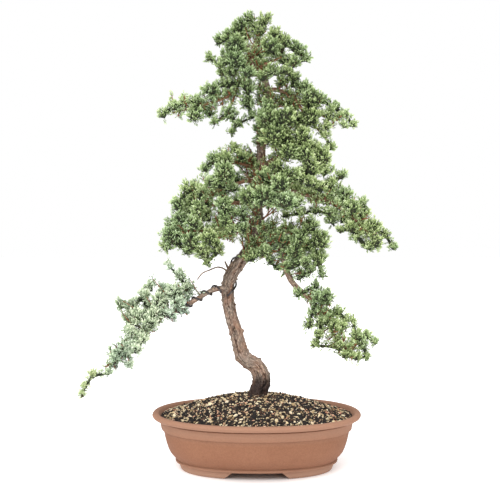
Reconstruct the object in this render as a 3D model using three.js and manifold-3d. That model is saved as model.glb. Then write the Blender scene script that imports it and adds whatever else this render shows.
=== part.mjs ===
// Green mound juniper bonsai in its oval clay pot. Millimetres, +Z up, seen from -Y.
// Every place below is measured from the middle of the pot's footprint, on the ground.
// The last lines move the whole tree so that the origin is the middle of its own footprint box.

import * as THREE from "three";
import { ConvexGeometry } from "three/addons/geometries/ConvexGeometry.js";
import { mergeVertices } from "three/addons/utils/BufferGeometryUtils.js";
import Module from "manifold-3d";

const wasm = await Module();
wasm.setup();

// Pot: half length, half depth and height of a 12 inch oval training pot.
const POT_HALF_LENGTH = 152.5;
const POT_HALF_DEPTH = 121;
const POT_HEIGHT = 82;
const POT_SIDES = 36;
const LONG_WALL_LEAN = 1.15;
const OVAL_POWER_FOOT = 2.25;
const OVAL_POWER_RIM = 2.15;
const FOOT_HEIGHT = 7.5;
const FLOOR_TOP = 17;
// The insets up to here are the same all round; below, the long walls lean in more.
const RIM_BAND = 11;
// Outer wall from the ground up: inset from the rim's outer edge, height.
const POT_OUTSIDE = [
  [43.5, 0], [41.2, 3], [41, 8.5], [38, 9.8], [31.5, 17], [25.6, 26], [20.3, 39], [16.4, 55], [14.8, 56.8],
  [10.6, 70], [6, 71.2], [2.2, 74.5], [0, 78.5], [2.4, POT_HEIGHT],
];
// Inner wall from the rim down to the floor.
const POT_INSIDE = [
  [8.8, POT_HEIGHT], [11.5, 79], [16, 68], [27, 44], [44, FLOOR_TOP],
];
const FOOT_RING_WIDTH = 13;
const RECESS_LEAN = 1.5;
// The notch between the two feet, front and back.
const NOTCH_WIDTH_TOP = 70;
const NOTCH_WIDTH_GROUND = 92;
const DRAIN_DIAMETER = 15;
const DRAIN_OFFSET = 58;
const DRAIN_SIDES = 12;

// Plastic screens that keep the soil off the drain holes.
const SCREEN_SIZE = 27;
const SCREEN_THICKNESS = 1.6;
const SCREEN_HOLE = 4.5;
const SCREEN_PITCH = 7.5;
const SCREEN_HOLES_A_SIDE = 3;

// Gaps between touching pieces.
const SEAT_GAP = 0.3;
const WOOD_GAP = 0.35;

// Soil: a mound that fills the pot to just under the rim and rises to the trunk.
const SOIL_EDGE_HEIGHT = 77;
const SOIL_RISE = 30;
const SOIL_CURVE = 1.35;
const SOIL_RINGS = 8;
const SOIL_WALL_GAP = 0.42;
const SOIL_EDGE_GAP = 0.8;
const SOIL_SEED = 11;
const GRIT_RELIEF = 1.7;
const GRIT_WANDER = 0.02;

// Wood.
const TRUNK_SIDES = 10;
const LIMB_SIDES = 6;
const TRUNK_RING_STEP = 17.5;
const TWIG_SIDES = 5;
const TWIG_RADIUS = 3;
const LIMB_RING_STEP = 27;
const LIMB_TAPER = 0.8;
const BARK_RELIEF = 0.07;
// Long ridges wander round the trunk as they climb, as old juniper bark and wood do.
const BARK_RIDGES = [
  { share: 0.55, count: 3, wander: 0.33, start: 0 },
  { share: 0.45, count: 5, wander: -0.5, start: 1 },
];

// Roots spread from the stump under the soil.
const ROOT_COUNT = 3;
const ROOT_FIRST_TURN = 0.35;
const ROOT_REACH = 62;
const ROOT_SQUASH = 0.85;
const ROOT_TOP = 82;
const ROOT_DEPTH = 34;
const ROOT_DROP_CURVE = 1.5;
const ROOT_RADII = [6.5, 2.2];
const ROOT_RING_STEP = 34;

// Wire: outer radius of the aluminium training wire.
const WIRE_RADIUS = 1.45;
const WIRE_SIDES = 5;
const WIRE_STEPS_A_TURN = 6;
// A wire of straight steps stands off the wood by this much more than a round one.
const WIRE_SAG = 0.85;
const WIRE_CLEARANCE = WIRE_RADIUS + WIRE_SAG + WOOD_GAP;
const BRANCH_WIRE_START = 15;
const BRANCH_WIRE_TURNS = 11.5;
const BRANCH_WIRE_PITCH = 17;
const BRANCH_WIRE_PHASE = 1;
const TRUNK_WIRE_START = 205;
const TRUNK_WIRE_TURNS = 1.1;
const TRUNK_WIRE_PITCH = 66;
const TRUNK_WIRE_PHASE = 3.1;
const TRUNK_BARK_ROOM = 0.9;

// Tufts: short scale-leaved shoots round a slim heart, joined by green stems.
const SHOOT_AREA = 350;
const FEWEST_DIRECTIONS = 3;
const MOST_DIRECTIONS = 18;
const TUFT_FULLNESS = 1.3;
const HEART_SHARE = 0.56;
const SHOOT_SPREAD = 0.16;
const GROWTH_STRETCH = 0.16;
const TUFT_GAP = 0.25;
const TUFT_SEED = 101;
const CORNER_SPREAD = 0.12;
// Shoots grow away from the spray's own stem and up to the light.
const LIGHT_PULL = 0.7;
const TIP_LEAN = 0.9;
const TIP_WANDER = 0.35;
const DIRECTION_JITTER = 0.5;
const GOLDEN_ANGLE = Math.PI * (3 - Math.sqrt(5));
// How far a neighbour counts, the shortest shoot, and how unevenly two tufts may share a gap.
const TUFT_REACH = 1.4;
const SHORTEST_SHOOT = 1.2;
const LEAST_GAP_SHARE = 0.35;
// The part of a tuft's radius that is kept off the wood, and what counts as lying on its middle line.
const WOOD_CLEAR_SHARE = 0.36;
const ON_THE_LINE = 0.5;
// A stem leaves a heart inside a ring this far round its direction.
const STEM_RING = THREE.MathUtils.degToRad(26);
const STEM_CLEARING = THREE.MathUtils.degToRad(40);
const STEM_SPACING = THREE.MathUtils.degToRad(58);
const WIDEST_BARE_CAP = 0.17;
const STEM_TRIANGLE = [0.5, 2.6, 4.7];
const ROOT_STEM_RADIUS = 1.5;
// A heart this many times its own radius from the wood still reaches it with a corner.
const SEAT_REACH = 1.7;
const SEAT_CLEARING = THREE.MathUtils.degToRad(30);
const WIRE_SIDE_ROOM = 0.4;
const STEEPEST_SEAT = THREE.MathUtils.degToRad(48);
const STEM_BENDS = 4;
const STEM_BEND_ROOM = 1.2;
const STEM_CROWD_COST = 6;
const STEM_SPACING_STEP = 0.06;
const STEM_REFERENCE = [0.31, 0.17, 0.93];

// The trunk's route: x, y, z and radius, from the buried stump to the tip.
const TRUNK = [
  [0, 0, 62, 11], [1, 0, 88, 13], [3, 0, 108, 12.6], [8.5, 0, 128, 12.6], [1.5, 0, 147, 11.4],
  [-17, 2, 160, 10.6], [-24.5, 3, 175, 10], [-30, 4, 197, 9.6], [-37, 5, 220, 9.4], [-41, 5, 243, 8.7],
  [-41, 4, 265, 8.6], [-37, 3, 280, 9.4], [-27, 2, 295, 9.2], [-18, 0, 309, 8.8], [-7, -2, 324, 8.4],
  [2, -3, 342, 8.2], [2, -3, 360, 7.8], [1, -2, 384, 7.4], [5, 0, 414, 6.9], [7, 2, 443, 6.6],
  [7, 3, 468, 6.2], [8, 3, 495, 5.6], [12, 2, 522, 5.2], [16, 0, 545, 5], [13, -2, 564, 4.6],
  [2, -2, 579, 4.2], [-8, 0, 593, 4], [-4, 2, 611, 3.4], [0, 1, 627, 2.8], [4, 0, 641, 2.2],
];

// Limbs and twigs: thickness at each end, then the route from the parent's middle outwards.
const LIMBS = {
  low_left: { from: 5.4, to: 1.6, route: [
    [-41, 3, 259], [-51, -8, 262], [-63, -14, 260], [-75, -18, 254], [-93, -23, 243], [-118, -27, 229],
    [-135, -28, 222], [-153, -30, 210], [-167, -32, 196], [-177, -35, 182], [-188, -37, 169],
    [-205, -38, 158], [-216, -39, 151]] },
  arching_twig: { from: 3.2, to: 1.2, route: [
    [-38, 3, 276], [-46, -2, 289], [-56, -9, 293], [-68, -15, 289], [-79, -18, 284], [-86, -20, 275]] },
  dead_stub: { from: 4.2, to: 2, route: [[-36, 3, 282], [-43, 8, 293], [-47, 12, 301]] },
  lower_right: { from: 6.6, to: 1.6, route: [
    [-4, -2, 336], [8, -10, 347], [27, -18, 340], [35, -22, 325], [40, -25, 301], [51, -28, 272],
    [66, -30, 257], [77, -32, 248], [88, -35, 235], [98, -38, 220], [110, -42, 198], [129, -44, 176],
    [134, -44, 173]] },
  under_twig: { from: 2.6, to: 1.4, route: [[30, -19, 334], [20, -24, 324], [5, -30, 316]] },
  shoulder_right: { from: 3.4, to: 1.6, route: [[24, -18, 342], [48, -30, 344], [64, -34, 342]] },
  lower_right_back: { from: 3.6, to: 1.6, route: [
    [12, -12, 346], [34, 8, 336], [58, 24, 322], [72, 25, 317]] },
  right_long: { from: 4.6, to: 1.5, route: [
    [4, 0, 406], [22, -10, 411], [48, -20, 404], [78, -24, 396], [104, -24, 388], [132, -22, 372],
    [152, -18, 352], [170, -13, 340], [182, -10, 334]] },
  right_back: { from: 3.2, to: 1.5, route: [[40, -18, 407], [76, 10, 402], [100, 22, 396], [116, 28, 390]] },
  upper_right: { from: 3.8, to: 1.3, route: [
    [15, 0, 547], [24, -5, 553], [36, -9, 550], [52, -12, 543], [70, -14, 528], [90, -14, 517],
    [110, -13, 509], [119, -12, 507]] },
  upper_right_low: { from: 2.6, to: 1.4, route: [
    [54, -12, 542], [70, -16, 516], [88, -18, 494], [102, -20, 480]] },
  upper_left: { from: 3.8, to: 1.3, route: [
    [4, -2, 577], [-10, -5, 575], [-24, -9, 562], [-36, -11, 546], [-50, -13, 538], [-74, -15, 530],
    [-98, -17, 523], [-122, -19, 517]] },
  upper_left_low: { from: 2.2, to: 1.2, route: [[-30, -10, 554], [-34, -14, 536], [-40, -17, 522]] },
  apex_left_twig: { from: 2.8, to: 1.3, route: [[-8, 0, 592], [-20, -12, 590], [-36, -22, 588]] },
  apex_right_twig: { from: 2.8, to: 1.3, route: [[-2, -1, 584], [16, -12, 590], [36, -18, 598]] },
  apex_back_twig: { from: 2.8, to: 1.3, route: [[8, -2, 572], [8, 20, 588], [8, 36, 602]] },
  front_upper_limb: { from: 3.8, to: 1.6, route: [[7, 3, 466], [14, -14, 476], [22, -32, 486], [30, -42, 492]] },
  front_right_limb: { from: 4, to: 1.6, route: [[7, 2, 440], [26, -18, 450], [46, -36, 456], [68, -40, 460]] },
  front_limb: { from: 4.4, to: 1.6, route: [[1, -2, 384], [6, -26, 394], [14, -46, 402], [26, -58, 408]] },
  back_upper_limb: { from: 4, to: 1.6, route: [[8, 3, 486], [22, 26, 500], [40, 44, 502], [56, 50, 496]] },
  back_limb: { from: 4.4, to: 1.6, route: [[5, 0, 408], [16, 30, 414], [34, 54, 414], [58, 66, 422]] },
  back_left_limb: { from: 4.2, to: 1.6, route: [
    [1, -2, 378], [-16, 28, 388], [-38, 52, 392], [-56, 62, 376]] },
  back_left_outer_limb: { from: 3, to: 1.5, route: [
    [-18, 30, 389], [-50, 30, 388], [-80, 32, 380], [-104, 36, 362]] },
  left_upper_twig: { from: 3.2, to: 1.4, route: [[6, 1, 432], [-8, -8, 439], [-26, -18, 444], [-46, -24, 444]] },
  left_outer_twig: { from: 3, to: 1.4, route: [
    [3, 0, 420], [-18, -9, 418], [-38, -16, 411], [-64, -24, 402], [-90, -26, 392]] },
  left_lower_limb: { from: 4.2, to: 1.6, route: [
    [2, -3, 362], [-16, -12, 359], [-38, -22, 350], [-66, -30, 346], [-92, -30, 346], [-106, -26, 344]] },
};

// Tufts of each spray: middle x, y, z and radius. A spray sits on the limb that is named first.
const SPRAYS = {
  apex_top: { limb: "trunk", tufts: [
    [13, -5, 655, 12], [-11, -10, 656, 8], [-24, -10, 643, 13], [-39, -20, 625, 13], [-20, 5, 632, 12],
    [-31, -25, 609, 17], [5, -8, 637, 10], [-54, -8, 623, 11],
    [-4, -4, 643, 9]] },
  apex_left: { limb: "apex_left_twig", tufts: [
    [-68, -15, 597, 8], [-31, -42, 588, 14], [-52, -35, 582, 8], [-50, -25, 571, 8], [-35, -34, 572, 11],
    [-12, -46, 568, 10]] },
  apex_right: { limb: "apex_right_twig", tufts: [
    [26, -10, 633, 12], [40, -15, 620, 12], [19, -34, 608, 14], [59, -15, 609, 13], [72, -10, 597, 8],
    [55, -30, 586, 10], [26, -44, 572, 11], [43, -35, 572, 8], [56, -26, 565, 8], [8, -36, 564, 10],
    [35, -15, 562, 10]] },
  apex_back: { limb: "apex_back_twig", tufts: [
    [-28, 26, 626, 13], [-2, 36, 606, 15], [28, 30, 619, 13], [44, 38, 603, 12], [-20, 46, 594, 13],
    [10, 55, 593, 16], [-46, 30, 610, 12]] },
  upper_left_inner: { limb: "upper_left", tufts: [
    [-43, -22, 560, 12], [-67, -26, 549, 13], [-39, -26, 515, 12], [-62, -24, 501, 6], [-14, -25, 531, 11],
    [-6, -26, 510, 6], [-28, -26, 499, 7], [-36, -22, 488, 5], [-61, 6, 546, 12],
    [-12, -24, 553, 11]] },
  upper_left_tip: { limb: "upper_left", tufts: [
    [-85, -25, 534, 9], [-104, -18, 533, 9], [-118, -24, 525, 9], [-136, -20, 514, 9], [-89, -30, 511, 13],
    [-70, 0, 517, 10], [-86, 0, 532, 10]] },
  upper_right_inner: { limb: "upper_right", tufts: [
    [53, -18, 559, 10], [70, -22, 550, 12], [80, -28, 534, 17], [76, -34, 506, 16]] },
  upper_right_tip: { limb: "upper_right", tufts: [
    [96, -8, 536, 9], [114, -12, 526, 8], [129, -12, 514, 8], [126, -22, 497, 6], [142, -8, 500, 6],
    [100, -22, 496, 8], [98, -28, 482, 6], [107, -22, 466, 8],
    [106, -22, 517, 9]] },
  front_upper: { limb: "front_upper_limb", tufts: [
    [15, -36, 521, 12], [17, -48, 502, 17], [40, -56, 503, 17], [24, -60, 479, 17], [42, -44, 475, 16]] },
  front_right: { limb: "front_right_limb", tufts: [
    [64, -52, 475, 16], [45, -65, 453, 14], [67, -60, 451, 14], [92, -36, 450, 17], [75, -50, 431, 14],
    [100, -40, 429, 12]] },
  front_middle: { limb: "front_limb", tufts: [
    [30, -62, 437, 8], [46, -70, 422, 14], [11, -60, 421, 11], [32, -82, 407, 14], [75, -55, 412, 11],
    [90, -46, 406, 11], [105, -36, 413, 11], [123, -26, 425, 9]] },
  front_lower: { limb: "front_limb", tufts: [
    [10, -77, 391, 17], [-12, -60, 391, 14], [39, -80, 385, 15], [54, -58, 384, 12]] },
  right_inner: { limb: "right_long", tufts: [
    [128, -22, 397, 13], [154, -22, 387, 8], [135, -38, 376, 14], [154, -16, 370, 11], [106, -34, 371, 8],
    [63, -14, 371, 8], [42, -8, 368, 7], [85, -14, 375, 8],
    [110, -8, 359, 12], [123, 0, 389, 9]] },
  right_tip: { limb: "right_long", tufts: [
    [136, -28, 351, 12], [120, -26, 345, 7], [167, -22, 352, 13], [171, -26, 327, 12], [188, -8, 340, 7],
    [200, -10, 321, 7],
    [145, -20, 338, 10], [162, -12, 321, 9]] },
  left_upper: { limb: "left_upper_twig", tufts: [
    [-60, -30, 447, 12], [-75, -25, 435, 9], [-45, -40, 445, 11], [-20, -28, 451, 8], [-34, -26, 464, 6],
    [-26, -33, 459, 5], [-45, -55, 424, 16], [-64, -48, 412, 11],
    [-34, -40, 403, 10]] },
  left_outer: { limb: "left_outer_twig", tufts: [
    [-97, -27, 407, 13], [-112, -22, 382, 13], [-82, -44, 379, 11], [-111, -30, 359, 14], [-88, -50, 353, 13],
    [-78, -40, 403, 10]] },
  left_lower: { limb: "left_lower_limb", tufts: [
    [-122, -26, 336, 16], [-131, -15, 323, 12], [-95, -46, 328, 15], [-67, -60, 332, 14], [-74, -42, 314, 13],
    [-52, -50, 319, 12], [-71, -40, 299, 6],
    [-99, -20, 315, 9]] },
  left_inner: { limb: "left_lower_limb", tufts: [
    [-46, -60, 381, 12], [-34, -48, 368, 9], [-44, -66, 356, 11], [-36, -44, 345, 8],
    [-20, -40, 371, 10], [-20, -38, 348, 10]] },
  under_middle: { limb: "under_twig", tufts: [
    [-8, -30, 306, 11], [11, -38, 316, 10], [20, -22, 300, 7], [32, -16, 291, 6]] },
  lower_right_upper: { limb: "shoulder_right", tufts: [
    [77, -32, 352, 14], [61, -50, 333, 13], [90, -37, 330, 16], [54, -50, 313, 12]] },
  lower_right_under: { limb: "lower_right", tufts: [
    [50, -42, 294, 11], [68, -54, 302, 11], [88, -36, 303, 12], [75, -46, 286, 9], [94, -32, 281, 6],
    [64, -24, 280, 9]] },
  low_right_inner: { limb: "lower_right", tufts: [
    [59, -44, 254, 8], [84, -32, 267, 7], [100, -42, 250, 13], [79, -40, 229, 7], [74, -44, 211, 10],
    [84, -52, 251, 9]] },
  low_right_middle: { limb: "lower_right", tufts: [
    [117, -37, 230, 9], [108, -52, 211, 10], [87, -52, 196, 8], [82, -50, 184, 6], [121, -44, 209, 9],
    [115, -50, 181, 9], [106, -24, 223, 10],
    [91, -42, 216, 10], [128, -34, 215, 9]] },
  low_right_tip: { limb: "lower_right", tufts: [
    [138, -34, 217, 7], [141, -42, 195, 11], [158, -34, 195, 8], [170, -32, 185, 5], [143, -42, 165, 9],
    [157, -38, 167, 5],
    [149, -44, 186, 10], [124, -54, 170, 9]] },
  low_left_inner: { limb: "low_left", tufts: [
    [-111, -20, 279, 10], [-100, -24, 264, 9], [-118, -35, 256, 14], [-112, -42, 242, 12],
    [-134, -20, 257, 13], [-140, -36, 244, 13], [-129, -15, 297, 5], [-125, 6, 253, 13],
    [-100, -14, 257, 9]] },
  low_left_middle: { limb: "low_left", tufts: [
    [-155, -15, 264, 10], [-163, -25, 250, 11], [-146, -44, 230, 11], [-123, -46, 226, 10],
    [-198, -18, 238, 10], [-181, -20, 236, 11], [-168, -36, 223, 14], [-184, -26, 217, 11],
    [-152, -47, 212, 12], [-157, -4, 227, 12]] },
  low_left_outer: { limb: "low_left", tufts: [
    [-180, -42, 201, 11], [-162, -46, 192, 10], [-176, -46, 183, 9], [-189, -48, 178, 9], [-200, -46, 167, 8],
    [-180, -44, 154, 6], [-186, -8, 201, 10],
    [-169, -50, 177, 9]] },
  low_left_tip: { limb: "low_left", tufts: [
    [-210, -50, 144, 7], [-232, -42, 140, 8],
    [-245, -38, 123, 6], [-249, -40, 111, 6]] },
  back_upper: { limb: "back_upper_limb", tufts: [
    [50, 40, 536, 15], [36, 52, 512, 17], [67, 46, 512, 16], [38, 66, 486, 16], [62, 56, 474, 17],
    [89, 36, 469, 15]] },
  back_middle: { limb: "back_limb", tufts: [
    [28, 66, 439, 16], [54, 64, 400, 17], [76, 76, 434, 16], [22, 80, 396, 17], [-2, 60, 410, 15],
    [46, 50, 386, 14]] },
  back_left: { limb: "back_left_limb", tufts: [
    [-34, 56, 424, 15], [-56, 66, 411, 15], [-46, 88, 383, 14], [-56, 70, 350, 15], [-87, 62, 342, 16]] },
  back_left_outer: { limb: "back_left_outer_limb", tufts: [
    [-102, 42, 384, 14], [-124, 30, 356, 14], [-108, 40, 336, 13], [-90, 18, 400, 11],
    [-74, 42, 400, 12], [-74, 16, 366, 12]] },
  back_right: { limb: "right_back", tufts: [
    [122, 42, 406, 13], [153, 44, 372, 13], [164, 28, 346, 12], [132, 26, 364, 12]] },
  back_lower_right: { limb: "lower_right_back", tufts: [
    [74, 36, 328, 14], [91, 24, 308, 13], [66, 40, 302, 12], [44, 22, 318, 10]] },
};

// Colours.
const CLAY = { color: 0xb07a62, roughness: 0.85, metalness: 0 };
const SOIL = { color: 0x3a322b, roughness: 1, metalness: 0 };
const PLASTIC = { color: 0x1c1c1e, roughness: 0.6, metalness: 0 };
const BARK = { color: 0x6b5345, roughness: 0.95, metalness: 0 };
const WIRE = { color: 0x3b3a3c, roughness: 0.5, metalness: 0.7 };
const LEAF_GREENS = [0x6f8f5c, 0x64875a, 0x779763, 0x5d8057];
const LEAF_BLUE_GREEN = 0x6d9079;

// Small helpers

function seededRandom(seed) {
  let state = seed >>> 0;
  return () => {
    state = (state + 0x6d2b79f5) >>> 0;
    let mixed = Math.imul(state ^ (state >>> 15), 1 | state);
    mixed = (mixed + Math.imul(mixed ^ (mixed >>> 7), 61 | mixed)) ^ mixed;
    return ((mixed ^ (mixed >>> 14)) >>> 0) / 4294967296;
  };
}

const point = (row) => new THREE.Vector3(row[0], row[1], row[2]);
const mix = (a, b, share) => a + (b - a) * share;

function indexed(vertices, faces) {
  const geometry = new THREE.BufferGeometry();
  const flat = vertices.flatMap((vertex) => [vertex.x, vertex.y, vertex.z]);
  geometry.setAttribute("position", new THREE.Float32BufferAttribute(flat, 3));
  geometry.setIndex(faces.flat());
  return geometry;
}

// A closed body through rings with equal numbers of points, with a fan at each end.
function loft(rings) {
  const sides = rings[0].length;
  const middle = (ring) => ring.reduce((sum, p) => sum.add(p), new THREE.Vector3()).divideScalar(sides);
  const vertices = [...rings.flat(), middle(rings[0]), middle(rings.at(-1))];
  const first = rings.length * sides;
  const faces = [];
  for (let k = 0; k < sides; k += 1) {
    const next = (k + 1) % sides;
    faces.push([first, next, k]);
    for (let level = 0; level + 1 < rings.length; level += 1) {
      const low = level * sides;
      const high = low + sides;
      faces.push([low + k, low + next, high + next], [low + k, high + next, high + k]);
    }
    const last = first - sides;
    faces.push([first + 1, last + k, last + next]);
  }
  return indexed(vertices, faces);
}

function solid(geometry) {
  const bare = geometry.clone();
  bare.deleteAttribute("normal");
  bare.deleteAttribute("uv");
  const merged = mergeVertices(bare, 1e-4);
  return new wasm.Manifold(new wasm.Mesh({
    numProp: 3,
    vertProperties: new Float32Array(merged.attributes.position.array),
    triVerts: new Uint32Array(merged.index.array),
  }));
}

// One body: hollows that the joining sealed are filled, and loose scraps are dropped.
function largestBody(shape) {
  return shape.decompose().reduce((best, body) => (body.volume() > best.volume() ? body : best));
}

function finished(shape, name, look) {
  const { vertProperties, triVerts } = largestBody(shape).getMesh();
  const geometry = new THREE.BufferGeometry();
  geometry.setAttribute("position", new THREE.BufferAttribute(new Float32Array(vertProperties), 3));
  geometry.setIndex(new THREE.BufferAttribute(new Uint32Array(triVerts), 1));
  geometry.computeVertexNormals();
  const mesh = new THREE.Mesh(geometry, new THREE.MeshStandardMaterial({ ...look, flatShading: true }));
  mesh.name = name;
  return mesh;
}

const joined = (shapes) => shapes.reduce((whole, shape) => whole.add(shape));

// Pot

function ovalRing(inset, height) {
  const power = mix(OVAL_POWER_FOOT, OVAL_POWER_RIM, height / POT_HEIGHT);
  const length = POT_HALF_LENGTH - inset;
  const rimBand = Math.min(inset, RIM_BAND);
  const depth = POT_HALF_DEPTH - rimBand - (inset - rimBand) * LONG_WALL_LEAN;
  return Array.from({ length: POT_SIDES }, (_, k) => {
    const angle = ((k + 0.5) / POT_SIDES) * 2 * Math.PI;
    const [cos, sin] = [Math.cos(angle), Math.sin(angle)];
    const x = Math.sign(cos) * length * Math.abs(cos) ** (2 / power);
    const y = Math.sign(sin) * depth * Math.abs(sin) ** (2 / power);
    return new THREE.Vector3(x, y, height);
  });
}

function drainHole(x) {
  const cut = new THREE.CylinderGeometry(DRAIN_DIAMETER / 2, DRAIN_DIAMETER / 2, 2 * FLOOR_TOP, DRAIN_SIDES);
  return solid(cut.rotateX(Math.PI / 2).translate(x, 0, FLOOR_TOP));
}

function footNotch() {
  const outline = new THREE.Shape();
  const drop = 2;
  const slope = (NOTCH_WIDTH_GROUND - NOTCH_WIDTH_TOP) / 2 / FOOT_HEIGHT;
  const low = NOTCH_WIDTH_GROUND / 2 + slope * drop;
  outline.moveTo(-low, -drop);
  outline.lineTo(low, -drop);
  outline.lineTo(NOTCH_WIDTH_TOP / 2, FOOT_HEIGHT);
  outline.lineTo(-NOTCH_WIDTH_TOP / 2, FOOT_HEIGHT);
  const length = 2 * POT_HALF_DEPTH;
  const cut = new THREE.ExtrudeGeometry(outline, { depth: length, bevelEnabled: false });
  return solid(cut.rotateX(Math.PI / 2).translate(0, length / 2, 0));
}

function makePot() {
  const footInset = POT_OUTSIDE[0][0] + FOOT_RING_WIDTH;
  const recess = [ovalRing(footInset + RECESS_LEAN, FOOT_HEIGHT), ovalRing(footInset, 0)];
  const outside = POT_OUTSIDE.map(([inset, height]) => ovalRing(inset, height));
  const inside = POT_INSIDE.map(([inset, height]) => ovalRing(inset, height));
  const shell = solid(loft([...recess, ...outside, ...inside]));
  return shell.subtract(footNotch()).subtract(drainHole(-DRAIN_OFFSET)).subtract(drainHole(DRAIN_OFFSET));
}

// Screens over the drain holes

function makeScreen(x) {
  const height = FLOOR_TOP + SEAT_GAP + SCREEN_THICKNESS / 2;
  let sheet = solid(new THREE.BoxGeometry(SCREEN_SIZE, SCREEN_SIZE, SCREEN_THICKNESS).translate(x, 0, height));
  const first = -((SCREEN_HOLES_A_SIDE - 1) / 2) * SCREEN_PITCH;
  for (let i = 0; i < SCREEN_HOLES_A_SIDE; i += 1) {
    for (let j = 0; j < SCREEN_HOLES_A_SIDE; j += 1) {
      const hole = new THREE.BoxGeometry(SCREEN_HOLE, SCREEN_HOLE, 2 * SCREEN_THICKNESS);
      hole.translate(x + first + i * SCREEN_PITCH, first + j * SCREEN_PITCH, height);
      sheet = sheet.subtract(solid(hole));
    }
  }
  return sheet;
}

function screenPocket(x) {
  const width = SCREEN_SIZE + 2 * SEAT_GAP;
  const height = SCREEN_THICKNESS + 2 * SEAT_GAP;
  const block = new THREE.BoxGeometry(width, width, 2 * height);
  return solid(block.translate(x, 0, FLOOR_TOP + SEAT_GAP));
}

// Wood

// Ring centres along a smooth curve through the route, with the radius at each.
function limbLine(rows, radii, step) {
  const curve = new THREE.CatmullRomCurve3(rows.map(point), false, "centripetal");
  const count = Math.max(3, Math.round(curve.getLength() / step));
  const marks = rows.map((row, k) => k / (rows.length - 1));
  return Array.from({ length: count + 1 }, (_, k) => {
    const share = curve.getUtoTmapping(k / count);
    const place = Math.min(marks.length - 2, Math.floor(share * (marks.length - 1)));
    const within = share * (marks.length - 1) - place;
    return {
      middle: curve.getPoint(share),
      along: curve.getTangent(share).normalize(),
      radius: mix(radii[place], radii[place + 1], within),
    };
  });
}

// Cross directions carried along the line without twist.
function carriedFrames(line) {
  let side = new THREE.Vector3(0, 1, 0);
  return line.map(({ along }) => {
    side = side.clone().addScaledVector(along, -side.dot(along)).normalize();
    return { side, up: new THREE.Vector3().crossVectors(along, side) };
  });
}

function tubeRings(line, sides, extra = 0, relief = () => 0) {
  const frames = carriedFrames(line);
  return line.map(({ middle, radius }, ring) => Array.from({ length: sides }, (_, k) => {
    const angle = (k / sides) * 2 * Math.PI;
    const reach = (radius + extra) * (1 + relief(angle, ring));
    return middle.clone()
      .addScaledVector(frames[ring].side, reach * Math.cos(angle))
      .addScaledVector(frames[ring].up, reach * Math.sin(angle));
  }));
}

const barkRidges = (angle, ring) => BARK_RELIEF * BARK_RIDGES.reduce(
  (sum, { share, count, wander, start }) => sum + share * Math.sin(count * angle + wander * ring + start), 0);

const trunkLine = limbLine(TRUNK, TRUNK.map((row) => row[3]), TRUNK_RING_STEP);
const limbLines = { trunk: trunkLine };
for (const [name, { from, to, route }] of Object.entries(LIMBS)) {
  const radii = route.map((_, k) => mix(from, to, (k / (route.length - 1)) ** LIMB_TAPER));
  limbLines[name] = limbLine(route, radii, LIMB_RING_STEP);
}

function rootLine(k) {
  const turn = ((k + ROOT_FIRST_TURN) / ROOT_COUNT) * 2 * Math.PI;
  const [cos, sin] = [Math.cos(turn), Math.sin(turn)];
  const rows = [0, 0.5, 1].map((share) => [
    cos * ROOT_REACH * share,
    sin * ROOT_REACH * share * ROOT_SQUASH,
    ROOT_TOP - ROOT_DEPTH * share ** ROOT_DROP_CURVE,
  ]);
  return limbLine(rows, [ROOT_RADII[0], mix(...ROOT_RADII, 0.5), ROOT_RADII[1]], ROOT_RING_STEP);
}

function woodRings(name) {
  if (name === "trunk") return tubeRings(trunkLine, TRUNK_SIDES, 0, barkRidges);
  return tubeRings(limbLines[name], LIMBS[name].from > TWIG_RADIUS ? LIMB_SIDES : TWIG_SIDES);
}

function woodShape() {
  const limbs = Object.keys(limbLines).map((name) => solid(loft(woodRings(name))));
  const roots = Array.from({ length: ROOT_COUNT }, (_, k) => solid(loft(tubeRings(rootLine(k), TWIG_SIDES))));
  return joined([...limbs, ...roots]);
}

// The stump and roots alone, a little larger, to open plain holes in the soil.
function rootHole() {
  const stump = trunkLine.filter(({ middle }) => middle.z < SOIL_EDGE_HEIGHT + 2 * SOIL_RISE);
  const below = { ...stump[0], middle: stump[0].middle.clone().add(new THREE.Vector3(0, 0, -WOOD_GAP)) };
  const rings = tubeRings([below, ...stump.slice(1)], TRUNK_SIDES, WOOD_GAP, barkRidges);
  const roots = Array.from({ length: ROOT_COUNT }, (_, k) => {
    const line = rootLine(k);
    const end = line.at(-1);
    const longer = { ...end, middle: end.middle.clone().addScaledVector(end.along, WOOD_GAP) };
    return solid(loft(tubeRings([...line.slice(0, -1), longer], TWIG_SIDES, WOOD_GAP)));
  });
  return joined([solid(loft(rings)), ...roots]);
}

// Soil

const soilTop = (share) => SOIL_EDGE_HEIGHT + SOIL_RISE * (1 - share ** 2) ** SOIL_CURVE;

function makeSoil() {
  const random = seededRandom(SOIL_SEED);
  const clear = ([inset, height]) => ovalRing(inset + SOIL_WALL_GAP, height);
  const wall = POT_INSIDE.slice(2).reverse().map(([inset, height]) => clear([inset, height + SEAT_GAP]));
  const edge = clear([POT_INSIDE[1][0] + SOIL_EDGE_GAP, SOIL_EDGE_HEIGHT]);
  const rings = [...wall, edge];
  for (let ring = 1; ring < SOIL_RINGS; ring += 1) {
    const share = 1 - ring / SOIL_RINGS;
    const turn = ring % 2 ? 0.5 : 0;
    const base = edge.map((p, k) => p.clone().lerp(edge[(k + 1) % edge.length], turn));
    rings.push(base.map((p) => {
      const reach = share * (1 + GRIT_WANDER * (2 * random() - 1));
      return new THREE.Vector3(p.x * reach, p.y * reach, soilTop(share) + GRIT_RELIEF * (2 * random() - 1));
    }));
  }
  const body = solid(loft(rings));
  return body.subtract(rootHole()).subtract(screenPocket(-DRAIN_OFFSET)).subtract(screenPocket(DRAIN_OFFSET));
}

// Wires

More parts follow.
